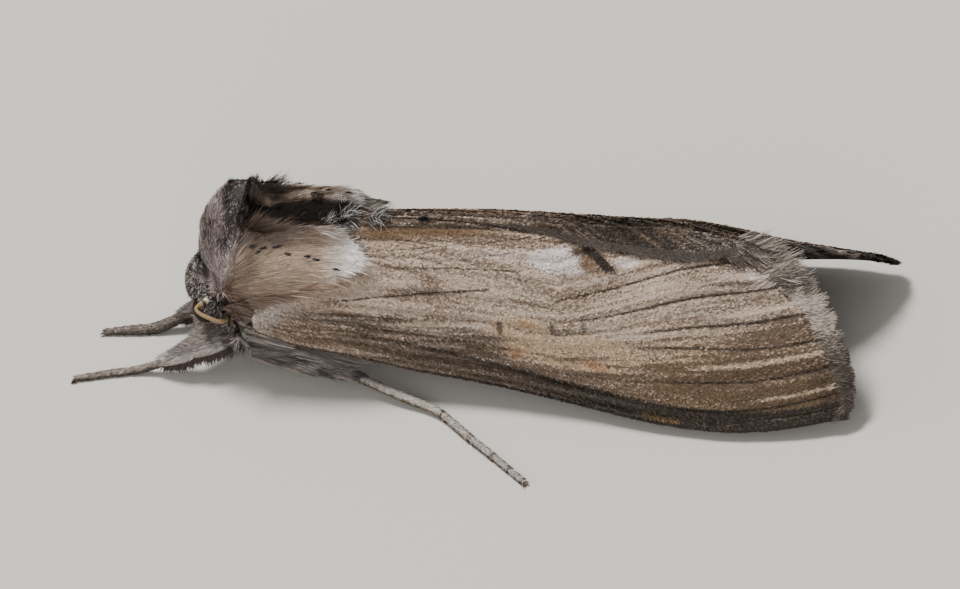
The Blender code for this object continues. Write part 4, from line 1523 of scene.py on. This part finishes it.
# %% Sweep a tube
def sweep(route, sides=12, per_span=6, swell=None):
    """Points and faces of a closed tube along (x, y, z, radius) points."""
    p = np.array(route, float)
    p = np.vstack([2 * p[0] - p[1], p, 2 * p[-1] - p[-2]])
    path = []
    for a, b, c, d in zip(p, p[1:], p[2:], p[3:]):
        for s in np.arange(per_span) / per_span:
            path.append(0.5 * (2 * b + (c - a) * s + (2 * a - 5 * b + 4 * c - d) * s**2
                               + (3 * b - a - 3 * c + d) * s**3))
    path.append(p[-2])
    path = np.array(path)
    run = np.linalg.norm(np.diff(path[:, :3], axis=0), axis=1).cumsum()
    share = np.concatenate([[0], run / run[-1]])
    if swell is not None:
        path[:, 3] *= swell(share)
    centre, radius = path[:, :3], path[:, 3]
    ahead = unit(np.gradient(centre, axis=0))
    side = unit(np.cross(ahead, [0.0, 0.0, 1.0]))
    over = np.cross(side, ahead)
    angle = np.linspace(0, TURN, sides, endpoint=False)
    ring = (side[:, None] * np.cos(angle)[:, None] + over[:, None] * np.sin(angle)[:, None])
    points = (centre[:, None] + ring * radius[:, None, None]).reshape(-1, 3)
    round_end = np.array([[-0.5], [0.5]]) * radius[[0, -1]][:, None]
    points = np.vstack([points, centre[[0, -1]] + ahead[[0, -1]] * round_end])
    count = len(path)
    quads = grid_quads(count, sides, wrap=True)
    k = np.arange(sides)
    first = np.stack([np.full(sides, count * sides), (k + 1) % sides, k], 1)
    last = (count - 1) * sides
    final = np.stack([np.full(sides, count * sides + 1), last + k, last + (k + 1) % sides], 1)
    along = np.concatenate([np.repeat(share, sides), [0, 1]])
    return points, quads[:, ::-1], np.vstack([first, final])[:, ::-1], along


def tubes(name, routes):
    """One object of several (route, settings) tubes."""
    swept = [sweep(route, **settings) for route, settings in routes]
    starts = np.cumsum([0] + [len(points) for points, *_ in swept])
    points = np.vstack([tube[0] for tube in swept])
    quads, triangles = (np.vstack([tube[k] + at for tube, at in zip(swept, starts)])
                        for k in (1, 2))
    made = mesh_object(name, points, quads, triangles, {
        "place": points * MM, "tip": np.concatenate([tube[3] for tube in swept])})
    print(f"{name}: {len(points)} points")
    return made


def on_side(route, side):
    return [(x, y * side, z, r) for x, y, z, r in route]


# %% [markdown]
# ## Feet
# A foot is five short pieces, each a little wider at its end, and ends in two claws. It is
# pale above and brown below, partly its own two tones and partly painted light from above,
# with a dark ring at each joint. The front feet are darker, and the far one has painted shade.

# %% The feet's shape and markings
MID_HEEL = ((-3.95, 2.2, 0.76, 0.16), (-2.4, 2.75, 0.45, 0.16), (-0.75, 3.4, 0.2, 0.15))
HIND_FOOT = ((2.0, 1.95, 0.42, 0.15), (3.2, 2.15, 0.18, 0.14), (6.2, 2.6, 0.12, 0.11))
FEET = {
    "fore_left": ((-11.7, 1.22, 0.62, 0.15), (-12.9, 1.2, 0.2, 0.14), (-14, 1.35, 0.14, 0.13),
                  (-15.1, 1.58, 0.12, 0.11)),
    "fore_right": ((-11.75, 1.2, 0.62, 0.22), (-12.9, 1.02, 0.22, 0.20),
                   (-13.9, 0.95, 0.17, 0.165), (-14.75, 0.9, 0.13, 0.12)),
    "mid_left": (*MID_HEEL, (0.75, 4.65, 0.16, 0.14), (1.9, 5.6, 0.14, 0.13),
                 (3.3, 6.8, 0.12, 0.11)),
    "mid_right": (*MID_HEEL, (0.7, 4.5, 0.16, 0.14), (1.8, 5.35, 0.14, 0.13),
                  (3.1, 6.35, 0.12, 0.11)),
    "hind_left": HIND_FOOT,
    "hind_right": HIND_FOOT,
}
FOOT_ENDS = np.array([0.42, 0.63, 0.79, 0.91, 1.0])     # where each of the five pieces ends
# 0 is pale, 1 dark brown above and below, and more is darker still: the right front foot's
# extra half is painted shade, as it is the far one
FOOT_DARKNESS = {"fore_left": 1.0, "fore_right": 1.5}
CLAW_TURN = 0.5


def foot_joints(s):
    """Five foot pieces: each swells to its end, where a narrow neck follows."""
    starts = np.concatenate([[0], FOOT_ENDS[:-1]])
    k = np.clip(np.searchsorted(FOOT_ENDS, s), 0, 4)
    within = (s - starts[k]) / (FOOT_ENDS[k] - starts[k])
    return 0.92 + 0.12 * within - 0.12 * (within < 0.05)


foot_markings, given, put = new_markings("foot markings")
darkness, along, facing = given["Place"].parts()
upper = mix(darkness, (0.42, 0.38, 0.35), (0.22, 0.18, 0.15))
lower = mix(darkness, (0.15, 0.10, 0.05), (0.045, 0.031, 0.022))
# pale facing up, brown facing down: partly the foot's own two tones, partly painted light
colour = mix((facing + (given["Tone"] - 0.5) * 0.7).fade(0.0, 0.6), lower, upper)
# painted shade: darkness past 1, which only the far front foot has, darkens it further
colour = mix(darkness - 1, colour, (0.04, 0.030, 0.024))
for end in FOOT_ENDS[:-1]:
    joint = near(along, float(end) - 0.006, 0.003, 0.010)
    colour = mix(joint * 0.75, colour, (0.045, 0.030, 0.022))
put(colour.scaled(given["Tone"] * 0.6 + 0.65))
foot_finish = marked_material("foot skin", foot_markings, 0.5, tone=0.5)
foot_scale_finish = marked_material("foot scales", foot_markings, 0.42)
print("foot markings:", len(foot_markings.nodes), "nodes")

# %% [markdown]
# The markings of a foot read how dark it is, how far along it a place is, and how much the
# place faces up. Small scales cover each foot. All those of one side are one coat piece.

# %% Feet and their scales
def claws(end, tip):
    """Routes of the two claws, which spread from the foot's tip and touch the floor."""
    (x0, y0, _, _), (x1, y1, z1, _) = end, tip
    run = math.hypot(x1 - x0, y1 - y0)
    dx, dy = (x1 - x0) / run, (y1 - y0) / run
    for turn in (-CLAW_TURN, CLAW_TURN):
        cx, cy = dx - dy * turn, dy + dx * turn
        yield ((x1, y1, z1, 0.05), (x1 + cx * 0.12, y1 + cy * 0.12, z1 + 0.02, 0.04),
               (x1 + cx * 0.2, y1 + cy * 0.2, 0.03, 0.015))


def foot_place(route, points, normals, darkness):
    """What the foot markings read at each point, and the route's direction there."""
    corners = np.array(route)[:, :3]
    steps = np.concatenate([a + (b - a) * np.linspace(0, 1, 40, endpoint=False)[:, None]
                            for a, b in zip(corners, corners[1:])])
    share = np.linalg.norm(np.diff(steps, axis=0, prepend=steps[:1]), axis=1).cumsum()
    nearest = np.linalg.norm(points[:, None] - steps, axis=-1).argmin(1)
    way = unit(np.gradient(steps, axis=0))[nearest]
    return np.stack([np.full(len(points), darkness), share[nearest] / share[-1],
                     normals[:, 2]], 1), way


scales = {name: [] for name in SIDES}
for foot, route in FEET.items():
    leg, name = foot.split("_")
    darkness = FOOT_DARKNESS.get(foot, 0.0)
    route = on_side(route, SIDES[name])
    made = tubes(f"foot_{foot}", [(route, {"per_span": 24, "swell": foot_joints, "sides": 10})]
                 + [(claw, {"sides": 6, "per_span": 3}) for claw in claws(*route[-2:])])
    place, _ = foot_place(route, *arrays_of(made), darkness)
    made.data.attributes["place"].data.foreach_set("vector", place.astype(np.float32).ravel())
    dress(made, foot_finish)
    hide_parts(f"{leg}_tarsus_{name}")
    root, normal = scatter(330, lambda p, n: np.ones(len(p)), 181, surface_of(made))
    place, way = foot_place(route, root, normal, darkness)
    around = np.arctan2(normal[:, 1], normal[:, 2]) / TURN + 0.5
    spot = within_unwrap((len(scales[name]) + place[:, 1]) / 3, around)
    scales[name].append((root, normal, way, place, spot))

for name, side in SIDES.items():
    root, normal, way, place, spot = (np.vstack(column) for column in zip(*scales[name]))
    chance = np.random.default_rng(185 + side)
    made = blades(f"coat_feet_{name}", root - normal * 0.02, normal,
                  way + chance.normal(0, 0.12, way.shape), chance.uniform(0.13, 0.20, len(root)),
                  0.045, 0.045, SCALE, place, chance.random(len(root)), spot, 191 + side,
                  radius=20.0)
    dress(made, foot_scale_finish)

# %% [markdown]
# ## Feelers
# A feeler starts with a thick pale joint beside the eye, bends round it and runs back under
# the wing. It has some 150 rings, which show as swellings with a dark line between.

# %% Feelers
FEELER = ((-9.15, 1.05, 3.64, 0.12), (-9.38, 1.36, 3.62, 0.12), (-9.62, 1.62, 3.58, 0.07),
          (-9.48, 1.80, 3.50, 0.072), (-9.1, 1.90, 3.34, 0.080), (-8.76, 1.82, 3.10, 0.080),
          (-8.5, 1.40, 2.90, 0.08), (-7.6, 1.4, 2.75, 0.08), (-6.4, 1.7, 2.4, 0.08),
          (-5, 1.95, 2.06, 0.07), (-3, 2.0, 1.7, 0.06), (0, 2.05, 1.35, 0.04))
FEELER_RINGS = 150
feeler_finish, tree, shader = new_material("feeler", 0.45)
tip = stored(tree, "tip")
ring = add_node(tree, "Math", tip * FEELER_RINGS, operation="FRACT")
colour = mix(ring.fade(0.40, 0.65), (0.15, 0.085, 0.035), (0.44, 0.31, 0.15))
colour = mix(tip.fade(0.032, 0.028), colour, (0.95, 0.88, 0.72))
colour = mix(near(tip, 0.040, 0.003, 0.002), colour, (0.03, 0.02, 0.015))
feed(shader, "Base Color", colour)
for name, side in SIDES.items():
    made = tubes(f"feeler_{name}", [(on_side(FEELER, side), {
        "per_span": 40,
        "swell": lambda s: 1 + 0.1 * np.sin(s * FEELER_RINGS * TURN) * (s > 0.05)})])
    dress(made, feeler_finish)
    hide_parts(f"antenna_{name}")

# %% [markdown]
# ## Eyes
# The eyes are dark balls of thousands of tiny facets, half sunk in the hair of the cheeks.
# The facets are far too small to model, so they are bump.

# %% Eyes
EYE_SIZE = 0.85                                 # of the plain model's eye
EYE_SHIFT = Vector((0.10, 0, 0.05)) * MM        # deeper into the hair of the cheek
eye_finish, tree, shader = new_material("eye", 0.45, Specular_IOR_Level=0.08)
where = add_node(tree, "NewGeometry")
cells = add_node(tree, "TexVoronoi", {"Vector": where, "Scale": 30000.0})
feed(shader, "Base Color", mix(noise(where, 2500, 1), (0.005, 0.003, 0.002),
                               (0.020, 0.012, 0.008)))
feed(shader, "Normal", add_node(
    tree, "Bump", {"Strength": 0.15, "Distance": 0.00001, "Height": cells}))
for name, side in SIDES.items():
    low, high = (Vector(corner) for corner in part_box("eye_" + name))
    centre, radius = (low + high) / 2, (high.x - low.x) / 2
    bm = bmesh.new()
    bmesh.ops.create_icosphere(bm, subdivisions=5, radius=radius * EYE_SIZE,
                               matrix=Matrix.Translation(centre + EYE_SHIFT))
    mesh = bpy.data.meshes.new("eyeball_" + name)
    bm.to_mesh(mesh)
    bm.free()
    mesh.shade_smooth()
    eye = dress(link(bpy.data.objects.new("eyeball_" + name, mesh)), eye_finish)
    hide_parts("eye_" + name)
    print(f"eyeball_{name}: {2 * radius * EYE_SIZE / MM:.2f} mm across")

# %% [markdown]
# ## Floor, light and camera
# The moth stands on a plain pale floor under soft studio light. The camera looks down on its
# left side and is turned so that the body lies nearly level in the view. It stands far
# away, with a long lens, so that near and far parts keep their true sizes.

# %% Floor and camera
FLOOR_HALF = 400
floor = mesh_object("floor", [(x * FLOOR_HALF, y * FLOOR_HALF, 0)
                              for x, y in ((-1, -1), (1, -1), (1, 1), (-1, 1))], [(0, 1, 2, 3)])
floor_finish, tree, shader = new_material("pale floor", 0.7)
shader.inputs["Base Color"].default_value = (0.62, 0.60, 0.57, 1)
floor.data.materials.append(floor_finish)

TILT, TWIST = math.radians(42), 0.345
FIELD, DISTANCE = 34.29, 300.0      # mm: how wide the view is, and how far off the camera
AIM_RIGHT, AIM_UP = -0.143, 2.054   # mm: the middle of the view
right = Vector((math.sqrt(1 - TWIST**2), TWIST * math.cos(TILT), -TWIST * math.sin(TILT)))
up = Vector((0, math.sin(TILT), math.cos(TILT)))
toward = right.cross(up)
place = (AIM_RIGHT * right + AIM_UP * up + toward * DISTANCE) * MM
camera = bpy.data.cameras.new("camera")
camera.sensor_width, camera.lens = 36, 36 * DISTANCE / FIELD
camera.clip_start, camera.clip_end = 0.01, 10
camera_object = link(bpy.data.objects.new("camera", camera))
camera_object.matrix_world = Matrix.Translation(place) @ Matrix(
    (right, up, toward)).transposed().to_4x4()
bpy.context.scene.camera = camera_object


# %% [markdown]
# A small lamp would throw hard shadows. Big square area lights, turned to the moth, wrap
# round it softly, and a dim pale world fills the shadows.

# %% Soft light
def soft_light(name, place, size, power, colour=(1, 1, 1)):
    """A square area light at place, in mm, turned to the moth."""
    light = bpy.data.lights.new(name, "AREA")
    light.size, light.energy, light.color = size * MM, power, colour
    made = link(bpy.data.objects.new(name, light))
    place = Vector(place) * MM
    turn = place.to_track_quat("Z", "Y").to_matrix().to_4x4()
    made.matrix_world = Matrix.Translation(place) @ turn


soft_light("key", (-40, 25, 220), 60, 0.62, (1, 0.97, 0.93))
soft_light("fill", (70, -200, 110), 150, 0.20, (1, 0.98, 0.95))
soft_light("front", (-190, -60, 80), 120, 0.08)
world = bpy.data.worlds.new("studio")
world.use_nodes = True
background = world.node_tree.nodes["Background"].inputs
background["Color"].default_value = (1.0, 0.98, 0.95, 1)
background["Strength"].default_value = 0.30
bpy.context.scene.world = world

# %% [markdown]
# ## The end
# Hair and scales must not make the moth any bigger than it is.

# %% Finish
import json
